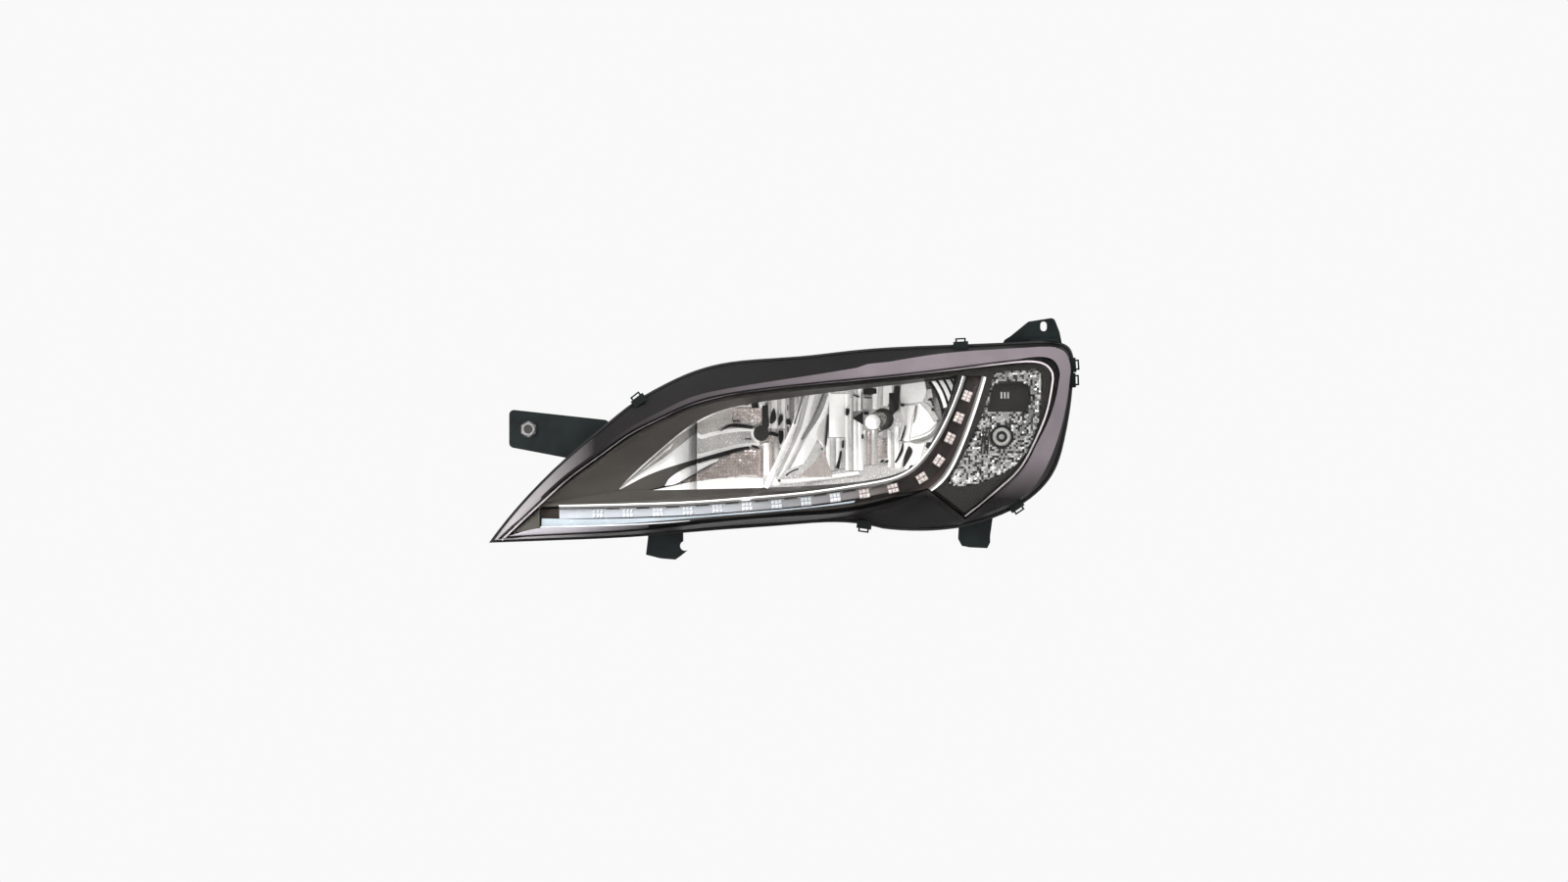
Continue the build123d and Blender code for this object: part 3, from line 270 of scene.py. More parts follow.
def make_plastics():
    """Solid plastics and rubber."""
    return {
        "housing": surface("housing_black", grey(0.006), grey(0.010), 0.42, grain=1400, bump=0.15,
                           shine=0.22),
        "seal": surface("seal_rubber", grey(0.008), grey(0.014), 0.7, bump=0.2),
        # The one grey trim is painted lighter towards the pointed end and darker outwards: painted light and
        # shade.
        "bezel": graded("trim_grey", [("X", -170, 130)], (0.054, 0.050, 0.044), (0.012, 0.011, 0.010), 0.46,
                        shine=0.22, grain=2200, bump=0.08),
        # Near black laid where shade and dark reflections fall: painted shade.
        "painted_shade_black": surface("shadow_black", (0.008, 0.007, 0.007), (0.016, 0.014, 0.013), 0.4, shine=0.25),
        "board": surface("board_white", (0.62, 0.62, 0.58), (0.72, 0.72, 0.68), 0.4, grain=1200, bump=0.1),
        "led": surface("led_die", (0.80, 0.72, 0.30), (0.88, 0.80, 0.38), 0.35, grain=1500),
        "guide": surface("milky_guide", (0.33, 0.38, 0.42), (0.42, 0.47, 0.51), 0.26, grain=500, bump=0.03),
        "cup": surface("cup_tray", (0.022, 0.014, 0.012), (0.042, 0.029, 0.025), 0.40, shine=0.3),
        "carrier": surface("carrier_grey", grey(0.10), grey(0.13), 0.5, grain=1500, bump=0.2),
        "holder": surface("holder_grey", grey(0.20), grey(0.25), 0.5, grain=1300, bump=0.15),
        "natural": surface("natural_plastic", (0.62, 0.60, 0.54), (0.72, 0.70, 0.64), 0.4, grain=1000,
                           bump=0.1),
        "tip": graded("lens_tip", [("X", -175, -290)], (0.035, 0.033, 0.034), (0.30, 0.285, 0.315), 0.30),
        # A pale strip along the lens's crease, lighter towards the top: a painted highlight.
        "painted_crease_highlight": graded("crease_painted_highlight", [("Z", -60, 60)], (0.34, 0.31, 0.32), (0.50, 0.45, 0.48), 0.25),
        "haze": graded("strip_haze", [("X", 120, -120)], (0.10, 0.085, 0.080), (0.36, 0.38, 0.41), 0.25),
        # Near black laid as painted shade: dashes in the blade's shadow, and the indicator's recess.
        "gap": surface("strip_painted_shade", (0.020, 0.016, 0.014), (0.030, 0.025, 0.022), 0.4),
    }


def make_clears():
    """Glass, clear covers and the small optics behind them."""
    smoke = (0.55, (0.75, 0.66, 0.56))
    return {
        "lens": glazing("clear_lens", (0.985, 0.983, 0.98), 0.02, 1.22),
        "inner_lens": glazing("clear_inner", (0.93, 0.93, 0.92), 0.05),
        "bulb": glazing("bulb_clear", (0.96, 0.96, 0.95), 0.03),
        "amber": surface("bulb_smoke", (0.20, 0.16, 0.13), (0.32, 0.27, 0.23), 0.08, grain=700, bump=0.03,
                         patch=25.0, clear=smoke),
        # Frosted flank: its lilac-grey is partly the frost's own tone and partly a painted reflection, and it
        # fades to near black as painted shade towards the pointed end, the bottom and the topmost edge.
        "frost": graded("lens_flank", [("X", -230, 100), ("Z", -75, -20), ("BELOW", -80.5, -75)],
                        (0.006, 0.0055, 0.0055), (0.095, 0.082, 0.089), 0.60,
                        clear=(0.90, (0.3, 0.29, 0.29)), shine=0.04),
        # The flank nearer the rim and along the bottom: near black as painted shade, growing paler towards
        # the pointed end.
        "edge": graded("lens_edge", [("X", -235, -335)], (0.007, 0.0065, 0.0065), (0.22, 0.205, 0.21), 0.45,
                       clear=(0.80, (0.4, 0.38, 0.39)), shine=0.06),
        # Opaque pale tones for the clear pillow optics, warm and cool: painted reflections.
        "pillow": surface("pillow_optic", (0.40, 0.345, 0.335), (0.70, 0.63, 0.61), 0.16, bump=0.02,
                          patch=160.0),
        "pillow_cool": surface("pillow_cool", (0.50, 0.525, 0.56), (0.66, 0.68, 0.71), 0.14, bump=0.02),
        # Near white for pillows picked at random: painted glints.
        "pillow_painted_glint": surface("pillow_painted_glint", grey(0.80), grey(0.92), 0.10, 0.6, bump=0.02),
        "pillow_dark": surface("pillow_dark", grey(0.03), grey(0.09), 0.12, grain=700, bump=0.03, patch=25.0,
                               clear=(0.5, (0.6, 0.59, 0.58))),
        "pillow_glass": surface("pillow_glass", grey(0.26), (0.48, 0.47, 0.47), 0.10, grain=700, bump=0.03,
                                patch=25.0, clear=(0.55, grey(0.93))),
    }


NODE_LOOKS = {
    "housing": "housing", "lens": "lens", "lens_seal": "seal", "trim_bezel": "bezel",
    "drl_inner_blade": "chrome", "drl_outer_blade": "chrome", "drl_notch_blade": "chrome",
    "drl_cup_strip": "cup", "drl_led_board": "board", "drl_leds": "led", "drl_light_guide": "guide",
    "drl_strip_lens": "inner_lens", "wing_reflector": "chrome", "low_beam_louvres": "white",
    "corner_reflector": "corner_bowl", "corner_inner_lens": "inner_lens",
    "turn_signal_holder": "holder", "turn_signal_bulb": "amber",
    "side_light_holder": "holder", "side_light_bulb": "bulb",
    "high_beam_reflector": "dish", "low_beam_reflector": "dish", "reflector_carrier": "carrier",
    "carrier_ball_sockets": "natural", "pivot_stud": "steel",
    "main_bulb_glass": "bulb", "main_bulb_base": "base", "main_bulb_plug": "holder",
    "bulb_retaining_spring": "steel", "high_beam_shield": "shield", "low_beam_shield": "shield",
    "high_beam_cover": "housing", "low_beam_cover": "housing", "cover_gaskets": "seal",
    "levelling_motor": "housing", "levelling_rod": "natural", "levelling_knob": "natural",
    "aim_spindle": "steel", "aim_knob": "natural",
    "connector_socket": "holder", "connector_pins": "tin", "led_driver_module": "alloy",
    "rear_wall_screws": "steel", "breather_caps": "holder",
    "inner_arm": "steel_black", "arm_nut": "nut", "arm_screws": "steel",
    "lower_feet": "steel_black", "rim_clips": "steel_black", "upper_tab": "steel_black",
}


def dress_nodes(looks):
    for name, look in NODE_LOOKS.items():
        mesh = nodes[name].data
        mesh.materials.clear()
        mesh.materials.append(looks[look])


FLANK_TURN = 0.985         # faces that turn further than this from the crown belong to the sloped flank
BAND_AHEAD = 17.0
LOUVRE_BACK = -6.5
NUT_RECESS, NUT_CORNER = 5.3, 8.1


def dress_lens_flank(looks):
    """The lens's sloped sides: frosted between band and crease, and painted dark as shade nearer the rim and
    along the bottom.
    """
    mesh = nodes["lens"].data
    mesh.materials.append(looks["frost"])
    mesh.materials.append(looks["edge"])
    crown = Vector((SWEEP_X, -1, SWEEP_Z)).normalized()
    for polygon in mesh.polygons:
        if abs(polygon.normal.dot(crown)) > FLANK_TURN:
            continue
        point = polygon.center * 1000 + NUT
        ahead = lean_y(point.x, point.z) - point.y
        painted_shade_bottom = point.z < -70 and -330 < point.x < 204
        polygon.material_index = 1 if ahead > BAND_AHEAD and not painted_shade_bottom else 2


def dress_louvres(looks):
    """Bright fins, their white a painted reflection, over a backing painted dark as shade in the recess."""
    mesh = nodes["low_beam_louvres"].data
    mesh.materials.append(looks["painted_shade_black"])
    for polygon in mesh.polygons:
        point = polygon.center * 1000 + NUT
        if lean_y(point.x, point.z) - point.y < LOUVRE_BACK:
            polygon.material_index = 1


def dress_nut(looks):
    """A grey hex that reads against its flange and the recess in its middle, both painted dark as shade."""
    mesh = nodes["arm_nut"].data
    mesh.materials.append(looks["painted_shade_black"])
    for polygon in mesh.polygons:
        reach = math.hypot(polygon.center.x, polygon.center.z) * 1000
        if reach < NUT_RECESS or reach > NUT_CORNER:
            polygon.material_index = 1


# ---- Mesh helpers ----
def smooth_path(points, count):
    """Points evenly spaced along a smooth curve through the given ones."""
    if len(points) == 2:
        (xa, za), (xb, zb) = points
        return [(xa + (xb - xa) * i / (count - 1), za + (zb - za) * i / (count - 1)) for i in range(count)]
    padded = [points[0]] + list(points) + [points[-1]]
    dense = []
    for index in range(1, len(padded) - 2):
        p0, p1, p2, p3 = padded[index - 1:index + 3]
        for step in range(12):
            t = step / 12
            dense.append(tuple(
                0.5 * (2 * p1[k] + (p2[k] - p0[k]) * t + (2 * p0[k] - 5 * p1[k] + 4 * p2[k] - p3[k]) * t * t
                       + (3 * p1[k] - p0[k] - 3 * p2[k] + p3[k]) * t ** 3) for k in (0, 1)))
    dense.append(tuple(points[-1]))
    lengths = [0.0]
    for a, b in zip(dense, dense[1:]):
        lengths.append(lengths[-1] + math.dist(a, b))
    result = []
    spot = 0
    for index in range(count):
        goal = lengths[-1] * index / (count - 1)
        while spot < len(dense) - 2 and lengths[spot + 1] < goal:
            spot += 1
        span = lengths[spot + 1] - lengths[spot]
        t = (goal - lengths[spot]) / span if span else 0
        result.append(tuple(dense[spot][k] + (dense[spot + 1][k] - dense[spot][k]) * t for k in (0, 1)))
    return result


SHARP_EDGE = math.radians(32)


def add_piece(name, vertices, faces, material, body, smooth, replaced):
    mesh = bpy.data.meshes.new(name)
    mesh.from_pydata([at(*v) for v in vertices], [], faces)
    mesh.materials.append(material)
    shape = bmesh.new()
    shape.from_mesh(mesh)
    bmesh.ops.recalc_face_normals(shape, faces=shape.faces)
    shape.to_mesh(mesh)
    shape.free()
    piece = bpy.data.objects.new(name, mesh)
    bpy.context.scene.collection.objects.link(piece)
    if smooth:
        mesh.polygons.foreach_set("use_smooth", [True] * len(mesh.polygons))
        mesh.set_sharp_from_angle(angle=SHARP_EDGE)
    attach(piece, body)
    if replaced:
        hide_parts(*replaced)


class Sheets:
    """Several thin sheets gathered into one mesh, each closed all round."""

    def __init__(self):
        self.vertices = []
        self.faces = []

    def sheet(self, edge_a, edge_b, depth, along=20, across=6, bulge=0.0, thick=1.2, lift=0.0):
        """A sheet between two edges of (x, z), at depth(x, z), swelling forward by bulge in its middle."""
        side_a = smooth_path(edge_a, along)
        side_b = smooth_path(edge_b, along)
        start = len(self.vertices)
        for layer in (0, thick):
            for a, b in zip(side_a, side_b):
                for j in range(across):
                    v = j / (across - 1)
                    x, z = a[0] + (b[0] - a[0]) * v, a[1] + (b[1] - a[1]) * v
                    swell = bulge * math.sin(math.pi * v)
                    self.vertices.append((x, depth(x, z) - swell - lift + layer, z))
        size = along * across
        front, back = start, start + size
        for i in range(along - 1):
            for j in range(across - 1):
                a, b = i * across + j, i * across + j + 1
                c, d = (i + 1) * across + j + 1, (i + 1) * across + j
                self.faces.append((front + a, front + d, front + c, front + b))
                self.faces.append((back + a, back + b, back + c, back + d))
        ring = [i * across for i in range(along)]
        ring += [(along - 1) * across + j for j in range(1, across)]
        ring += [i * across + across - 1 for i in range(along - 2, -1, -1)]
        ring += [j for j in range(across - 2, 0, -1)]
        for a, b in zip(ring, ring[1:] + ring[:1]):
            self.faces.append((front + a, back + a, back + b, front + b))

    def stroke(self, points, depth, lift, count=12, across=4, bulge=0.0, thick=1.2):
        """A band of varying width along (x, z, width) points."""
        left, right = [], []
        for index, (x, z, width) in enumerate(points):
            xa, za, _ = points[max(index - 1, 0)]
            xb, zb, _ = points[min(index + 1, len(points) - 1)]
            length = math.hypot(xb - xa, zb - za)
            side_x, side_z = (za - zb) / length * width / 2, (xb - xa) / length * width / 2
            left.append((x + side_x, z + side_z))
            right.append((x - side_x, z - side_z))
        self.sheet(left, right, depth, count, across, bulge, thick, lift)

    def facet(self, x, z, half, depth, tilt, rise, thick=2.0):
        """One small tile with a raised middle."""
        tilt_x, tilt_z = tilt
        start = len(self.vertices)
        spots = [(-1, -1), (1, -1), (1, 1), (-1, 1)]
        for lean_x, lean_z, back in ((tilt_x, tilt_z, 0), (0, 0, thick)):
            for u, w in spots:
                px, pz = x + half * u, z + half * w
                self.vertices.append((px, depth(px, pz) + lean_x * u + lean_z * w + back, pz))
        self.vertices.append((x, depth(x, z) - rise, z))
        top = start + 8
        for i in range(4):
            j = (i + 1) % 4
            self.faces.append((start + i, start + j, top))
            self.faces.append((start + j, start + i, start + 4 + i, start + 4 + j))
        self.faces.append((start + 7, start + 6, start + 5, start + 4))

    def build(self, name, material, body, slot, smooth=True, replaced=()):
        add_piece(name, self.vertices, self.faces, material, body, smooth, replaced)


def build_dish_groups(groups, prefix, looks):
    """One piece for each look, on the moving reflectors."""
    for look, group in groups.items():
        group.build(prefix + look, looks[look], "reflectors", "bright_metal")


def inside(polygon, x, z):
    hit = False
    for (xa, za), (xb, zb) in zip(polygon, polygon[1:] + polygon[:1]):
        if (za > z) != (zb > z) and x < xa + (z - za) * (xb - xa) / (zb - za):
            hit = not hit
    return hit


# ---- High beam, on the moving reflectors ----
def divider_x(z):
    """The line between the two dishes."""
    return -26.7 + (z + 57) * 0.455


def high_textured(looks):
    """Fine tiles at the lower left of the high beam and in the small panel above, in a warm grey that is a
    painted reflection.
    """
    tiles = Sheets()
    lower = [(-112, -43), (-104, -38), (-89, -30), (-72, -18), (-40, -13), (-36, -30), (-37, -47), (-79, -48),
             (-112, -52)]
    step = 3.6
    for i in range(22):
        for j in range(12):
            x, z = -112.3 + step * (i + 0.5), -53 + step * (j + 0.5)
            if inside(lower, x, z):
                tilt = (rng.uniform(-0.5, 0.5), rng.uniform(-0.5, 0.5))
                tiles.facet(x, z, step * 0.49, high_y, tilt, 0.7)
    tiles.build("high_beam_tiles", looks["warm_painted_reflection"], "reflectors", "bright_metal", smooth=False)
    panel = Sheets()
    step = 4.4
    for i in range(8):
        for j in range(4):
            x, z = -68.5 + step * (i + 0.5), 19.5 + step * (j + 0.5)
            tilt = (rng.uniform(-0.25, 0.25), rng.uniform(-0.25, 0.25))
            panel.facet(x, z, step * 0.49, high_y, tilt, 0.3)
    panel.build("high_beam_panel", looks["warm_painted_reflection"], "reflectors", "bright_metal", smooth=False)


def high_swoop(looks):
    """The smooth bright surface that runs from the cap out to the wing. Its white and beige-grey are painted
    reflections.
    """
    swoop = Sheets()
    swoop.sheet([(-112.5, 7.2), (-107, 4), (-97, 7), (-79.5, 10.5), (-60, 12.5), (-44, 12), (-36, 9)],
                [(-112.5, -25.7), (-96, -21), (-79.5, -16.2), (-62, -12), (-51, -10.5), (-36, -9)],
                high_y, 26, 8, -3.0)
    swoop.sheet([(-112.5, -31.4), (-96.6, -26.3), (-86, -25)],
                [(-112.5, -42), (-106.9, -38.6), (-89.5, -29.4)], high_y, 16, 6, 1.6)
    swoop.sheet([(-112.5, -53), (-79.5, -48.8), (-60, -48), (-32, -50)],
                [(-112.5, -64.6), (-90, -65), (-60, -66), (-32, -66)], high_y, 16, 6, 2.0)
    # A painted highlight strip along the top edge.
    swoop.sheet([(-112.5, 22.6), (-91.5, 34), (-79.5, 38.1), (-70, 41)],
                [(-112.5, 18.4), (-91.5, 29.6), (-79.5, 34), (-70, 37)], high_y, 14, 5, 1.6)
    swoop.build("high_beam_swoop", looks["white"], "reflectors", "bright_metal")
    dome = Sheets()
    dome.sheet([(-112.5, 18), (-91.5, 29.2), (-79.5, 33.6), (-71, 36.6)],
               [(-112.5, 7.8), (-106, 5), (-96, 8.4), (-71, 13)], high_y, 18, 8, 2.4)
    dome.build("high_beam_dome", looks["lip"], "reflectors", "bright_metal")


def high_flutes(looks):
    """Upright flutes from the cap across to the divider, each in a tone that is a painted reflection."""
    groups = {"white": Sheets(), "grey_painted_reflection": Sheets(), "warm_painted_reflection": Sheets(), "shade": Sheets()}
    upper = [(-33, -27, "white"), (-27, -21.5, "grey_painted_reflection"), (-21.5, -14, "white"), (-14, -9.5, "grey_painted_reflection"),
             (-9.5, -4, "white"), (-4, 1, "grey_painted_reflection"), (1, 6, "shade"), (6, 11.5, "grey_painted_reflection")]
    for left, right, look in upper:
        right -= 0.3
        groups[look].sheet([(left, 12), (left, 53)], [(right, 12), (right, 53)], high_y, 10, 6, 1.4)
    lower = [(-38, -31, "warm_painted_reflection", -12, -47), (-31, -24.5, "white", -6, -46), (-24.3, -18, "warm_painted_reflection", 3, -40),
             (-17.8, -11.5, "grey_painted_reflection", 5, -27), (-11.3, -5, "white", 10, -12), (-4.8, 1.5, "grey_painted_reflection", 12, 0)]
    for left, right, look, top, bottom in lower:
        groups[look].sheet([(left, bottom), (left, top)], [(right, bottom), (right, top)], high_y, 10, 6, 1.4)
    build_dish_groups(groups, "high_beam_flutes_", looks)


HIGH_MARKS = [
    [(-27.8, 43.7, 0.6), (-28.6, 34, 4.6), (-29.2, 27, 7.6), (-28.4, 14, 8)],
    [(-18.7, 37.1, 0.6), (-19, 29, 6.6), (-19.8, 23, 7.4), (-22.6, 17.4, 2.2)],
    [(-9.6, 28.9, 3.6), (-9.8, 24, 6.2), (-11.4, 19, 3.8), (-12.4, 15.6, 1.6)],
    [(-1.4, 23.8, 3.4), (-0.6, 20, 5.8), (0.2, 16.6, 4.6)],
    [(-1, 14.6, 2.2), (-1.4, 7.4, 1.4)],
    [(-9.6, 9.5, 5.6), (-9.6, 3, 6.4), (-9.8, -3, 5), (-10.4, -8, 0.8)],
    [(-24, 6.6, 4.4), (-18, 5, 4.6), (-13, 3, 4)],
    [(-1.3, 41.2, 1.2), (-1.5, 34.5, 1.4)],
    [(-46, 40.6, 7.4), (-37.4, 40.6, 7.4)],
    [(-57, 42.6, 1.2), (-53, 42, 3.4), (-49.8, 41.2, 1.2)],
    [(-84, 8.4, 1), (-78, 13, 2.2), (-70, 15.4, 3.6), (-58, 14.8, 4.6), (-44.7, 13, 4)],
    [(-69, 20.6, 1.6), (-59, 20.9, 1.0)],
    [(-54.4, -0.9, 1.4), (-46.8, -1, 2)],
    [(-46.2, -9.6, 2.8), (-41, -11, 3.2), (-36.6, -13, 1.8)],
    [(-112.6, -28.6, 5.6), (-96.6, -23.8, 5.2), (-85.6, -20.8, 5.6), (-75.4, -17.8, 5.2), (-62, -14, 4.4),
     (-48.8, -11.8, 3.6)],
    [(-112.4, -42.4, 0.9), (-106.9, -39, 1.2), (-89.5, -29.8, 1.0)],
    [(4.9, 17.4, 1.2), (8, 18, 3), (10, 17, 1.4)],
]


def high_marks(looks):
    """Dark strokes at the slots and steps between the high beam's facets: painted shade and painted dark
    reflections.
    """
    marks = Sheets()
    for points in HIGH_MARKS:
        marks.stroke(points, high_y, 3.2, 16)
    marks.build("high_beam_painted_shade_marks", looks["painted_shade_black"], "reflectors", "shield_black")


def divider(looks):
    """The bright rib between the two dishes; its white is a painted highlight."""
    rib = Sheets()
    rib.stroke([(divider_x(-60), -60, 5.6), (divider_x(-20), -20, 5.4), (divider_x(17), 17, 4.6)],
               lambda x, z: low_y(x, z) - 2.0, 1.0, 14, 8, 1.2, 4.0)
    rib.build("dish_divider", looks["white"], "reflectors", "bright_metal")


# ---- Low beam ----
def low_panels(looks):
    """The broad slanted panels to the left of the low-beam bulb, in tones that are painted reflections."""
    groups = {"white": Sheets(), "grey_painted_reflection": Sheets(), "shade": Sheets(), "warm_painted_reflection": Sheets()}
    white, grey_painted_reflection, shade, warm_painted_reflection = groups["white"], groups["grey_painted_reflection"], groups["shade"], groups["warm_painted_reflection"]
    grey_painted_reflection.sheet([(-22, -58), (10, 12), (18, 57)], [(-14, -50), (14, 9), (26, 58)], low_y, 18, 8, 1.5)
    white.sheet([(-14, -50), (14, 9), (26, 56)], [(-6, -42), (17, 2), (33, 56)], low_y, 18, 8, 1.5)
    grey_painted_reflection.sheet([(-6, -42), (17, 2), (33, 58)], [(2, -37), (20, -2), (42, 58)], low_y, 18, 8, 1.5)
    shade.stroke([(47.2, 56, 4.8), (38, 33, 6.0), (29, 17, 5.4), (16, -2, 3.4)], low_y, 2.2, 18, 6, 0.8)
    white.sheet([(2, -37), (20, -2), (30, 16), (48, 56.5)],
                [(18, -32), (32, -8), (44, 20), (52, 57)], low_y, 18, 8, 1.5)
    grey_painted_reflection.sheet([(46, 33), (36.4, 16), (35, 0), (42.4, -11)],
                [(48.6, 33), (47.4, 16), (46.4, 0), (44.4, -11)], low_y, 14, 8, 1.4, lift=1.2)
    warm_painted_reflection.sheet([(13.5, -46), (28, -34), (43.4, -15)],
               [(13.5, -48), (34, -48), (54, -48)], low_y, 12, 8, 0.8, lift=1.0)
    white.sheet([(50, 55), (50, 1)], [(70.6, 55), (70.4, 1)], low_y, 14, 8, 2.0, lift=0.2)
    white.sheet([(-20, -56.2), (30, -52.8), (88, -45.4)],
                [(-19, -51), (30, -48), (86, -41)], low_y, 14, 6, 0.6)
    grey_painted_reflection.stroke([(-20, -57.6, 1.2), (30, -52.6, 1.4), (90, -45, 1.2)], low_y, 2.4, 18, 4)
    build_dish_groups(groups, "low_beam_panels_", looks)


def low_flutes(looks):
    """Upright flutes under and over the low-beam bulb, each in a tone that is a painted reflection."""
    groups = {"white": Sheets(), "grey_painted_reflection": Sheets(), "warm_painted_reflection": Sheets()}
    lower = [(46, 51, 0, -40, "white"), (51.2, 58.4, 0, -40, "grey_painted_reflection"), (58.6, 64.8, 0, -38, "white"),
             (65, 70, 0, -38, "grey_painted_reflection"), (70.2, 75, 55, -40, "white"), (75.2, 80.4, 50, -40, "grey_painted_reflection"),
             (80.6, 86, 24, -40, "white"), (86.2, 92.6, 20, -40, "white"), (92.8, 98, 10, -33, "grey_painted_reflection"),
             (98.2, 103, 8, -33, "warm_painted_reflection"), (103.2, 110.4, 10, -33, "grey_painted_reflection"), (110.6, 122.6, 0, -24, "warm_painted_reflection"),
             (122.8, 127, 10, -36, "white"), (127.2, 131, 10, -36, "grey_painted_reflection"), (131.2, 137, 14, -36, "white")]
    for left, right, top, bottom, look in lower:
        groups[look].sheet([(left, top), (left, bottom)], [(right, top), (right, bottom)], low_y, 14, 8, 1.3)
    upper = [(80.6, 86, 34, 62, "grey_painted_reflection"), (86.2, 92, 34, 62, "white"), (92.2, 104, 36, 53, "grey_painted_reflection"),
             (104.4, 111, 36, 66, "white"), (111.2, 117, 38, 66, "grey_painted_reflection"), (117.2, 128, 40, 66, "white")]
    for left, right, bottom, top, look in upper:
        groups[look].sheet([(left, bottom), (left, top)], [(right, bottom), (right, top)], low_y, 12, 8, 1.2)
    build_dish_groups(groups, "low_beam_flutes_", looks)


def low_eye(looks):
    """The bright bowl to the right of the bulb, the lobe over it and its grey rim; their white, grey and dark
    grey are painted reflections.
    """
    white, shade, grey_painted_reflection = Sheets(), Sheets(), Sheets()
    white.sheet([(158, 41), (154, 22), (150.4, -3)], [(164, 44), (183, 20), (176, 3)], low_y, 16, 12, 3.0)
    white.sheet([(139, 66), (138, 52), (140, 42)], [(168, 70), (170, 57), (166, 45)], low_y, 14, 12, 2.4)
    white.sheet([(150, -5), (160, -8), (168, -6)], [(141, -36), (150, -40), (160, -34)], low_y, 12, 8, 1.2)
    white.sheet([(138, 40), (142, 20), (137, -2)], [(157, 41), (153, 22), (149, -4)], low_y, 16, 8, 1.2)
    white.sheet([(140, -6), (136, -20), (131, -34)], [(149, -6), (144, -20), (138, -36)], low_y, 12, 6, 0.8)
    grey_painted_reflection.sheet([(162, 43), (172, 32), (180, 19)],
                [(168, 46), (178, 35), (185, 24)], low_y, 14, 6, 1.0, lift=1.8)
    grey_painted_reflection.sheet([(170, 60), (171, 54), (172, 50)],
                [(176, 61), (177, 55), (178, 50)], low_y, 8, 6, 0.8, lift=0.8)
    shade.stroke([(184.6, 15.6, 2.6), (176.4, 5.0, 3.0), (163.8, -1.4, 3.0), (150.4, -4.2, 2.4)],
                 low_y, 3.4, 18, 5, 0.8)
    grey_painted_reflection.stroke([(182.4, 18.4, 1.4), (173.6, 8.8, 1.6), (162.6, 3.2, 1.6), (151.6, 0.4, 1.2)],
                 low_y, 3.6, 18, 4, 0.5)
    shade.stroke([(158.4, 40.7, 2.2), (157, 30, 2.0), (154.8, 18.7, 0.9)], low_y, 3.2, 12, 4, 0.4)
    white.build("low_beam_eye", looks["white"], "reflectors", "bright_metal")
    grey_painted_reflection.build("low_beam_eye_band", looks["grey_painted_reflection"], "reflectors", "bright_metal")
    shade.build("low_beam_eye_rim", looks["shade"], "reflectors", "bright_metal")


LOW_MARKS = [
    [(92.4, 57.8, 6.8), (102, 58, 8), (109, 58.6, 6)],
    [(93, 50.3, 1.6), (103.2, 49.9, 1.8)],
    [(78.8, 54, 1.0), (84, 52.2, 2.2), (87.8, 51, 1.4)],
    [(90.9, 57.5, 1.0), (91, 35, 1.2)],
    [(73.4, 36.6, 4.6), (73, 32, 5), (72, 28, 2.4)],
    [(79.6, 24.3, 0.6), (86, 24.6, 8.5), (92.4, 24.8, 17)],
    [(93.5, 31, 4), (99.6, 31, 4)],
    [(91.8, 4.9, 2.2), (91.6, -0.7, 2.4)],
    [(134.6, 64.5, 7.6), (133.6, 54, 8), (132.8, 44, 8), (131.5, 37, 9), (129, 31.5, 3.5)],
    [(123.1, 41.4, 1.6), (127, 40, 4.6), (131, 39.4, 6)],
    [(139.2, 41.2, 4), (143.4, 41, 3.8)],
    [(171.7, 46.4, 1.2), (174.6, 48, 3.4), (176.6, 45, 1.6), (178.4, 40, 1.8)],
    [(176.4, 35.4, 3.4), (179.8, 35.6, 3.6)],
    [(145.1, 15.6, 1.2), (142, 5, 2.0), (139, -3.8, 1.8)],
    [(141.5, -5.9, 1.4), (140, -15, 3.2), (136, -23.5, 2.6), (131.8, -30.4, 1.8)],
    [(149.6, -10, 1.4), (149.8, -15.5, 6.8), (145.8, -25, 5.8), (141.4, -36, 1.2)],
    [(169.8, -8, 6), (174.4, -9.4, 8.4), (178.6, -7.6, 4.4)],
    [(148.4, -39, 1.6), (151.8, -36, 5.6), (156.6, -36.4, 3.2)],
    [(113.4, -30, 1), (116, -28.4, 3.2), (118.5, -27, 1)],
    [(119.4, -30, 1), (121.6, -28.6, 2.6), (123.6, -27.4, 1)],
    [(48.6, 29, 1.8), (47.6, 12, 2.8), (45.6, -9, 1.8)],
    [(39.8, -13.5, 2.8), (42, -13.5, 2.8)],
    [(67.6, -2.8, 2.6), (66.8, -12, 2.8)],
    [(64.6, -16, 2.4), (62.6, -27, 3.4), (60, -37.5, 4.6)],
    [(-3.8, -45.7, 2), (3.3, -40.8, 1.6), (12, -37.8, 2)],
    [(-13.4, -51.6, 3), (-10.2, -51.6, 3)],
]
HOOK_MIDDLE = (116.3, 23.5)
HOOK_REACH = 13.5
HOOK_WIDTHS = [(150, 0.8), (130, 1.4), (105, 2.6), (80, 4.4), (50, 6.8), (20, 8.4), (-10, 8.6), (-40, 7.4),
               (-70, 5.6), (-95, 4.2), (-104, 1.4)]   # degrees round its middle, and the hook's width there


def low_marks(looks):
    """Dark strokes at the slots and steps between the low beam's facets, painted shade and painted dark
    reflections, and the hook round the bulb.
    """
    marks = Sheets()
    for points in LOW_MARKS:
        marks.stroke(points, low_y, 3.6, 14)
    marks.build("low_beam_painted_shade_marks", looks["painted_shade_black"], "reflectors", "shield_black")
    hook = Sheets()
    cx, cz = HOOK_MIDDLE
    curve = []
    for angle, width in HOOK_WIDTHS:
        reach = HOOK_REACH - width / 2
        turn = math.radians(angle)
        curve.append((cx + reach * math.cos(turn), cz + reach * math.sin(turn), width))
    hook.stroke(curve, lambda x, z: 74.2, 0, 40, 6, 0.6, 1.6)
    hook.build("low_beam_hook", looks["shield"], "reflectors", "shield_black")


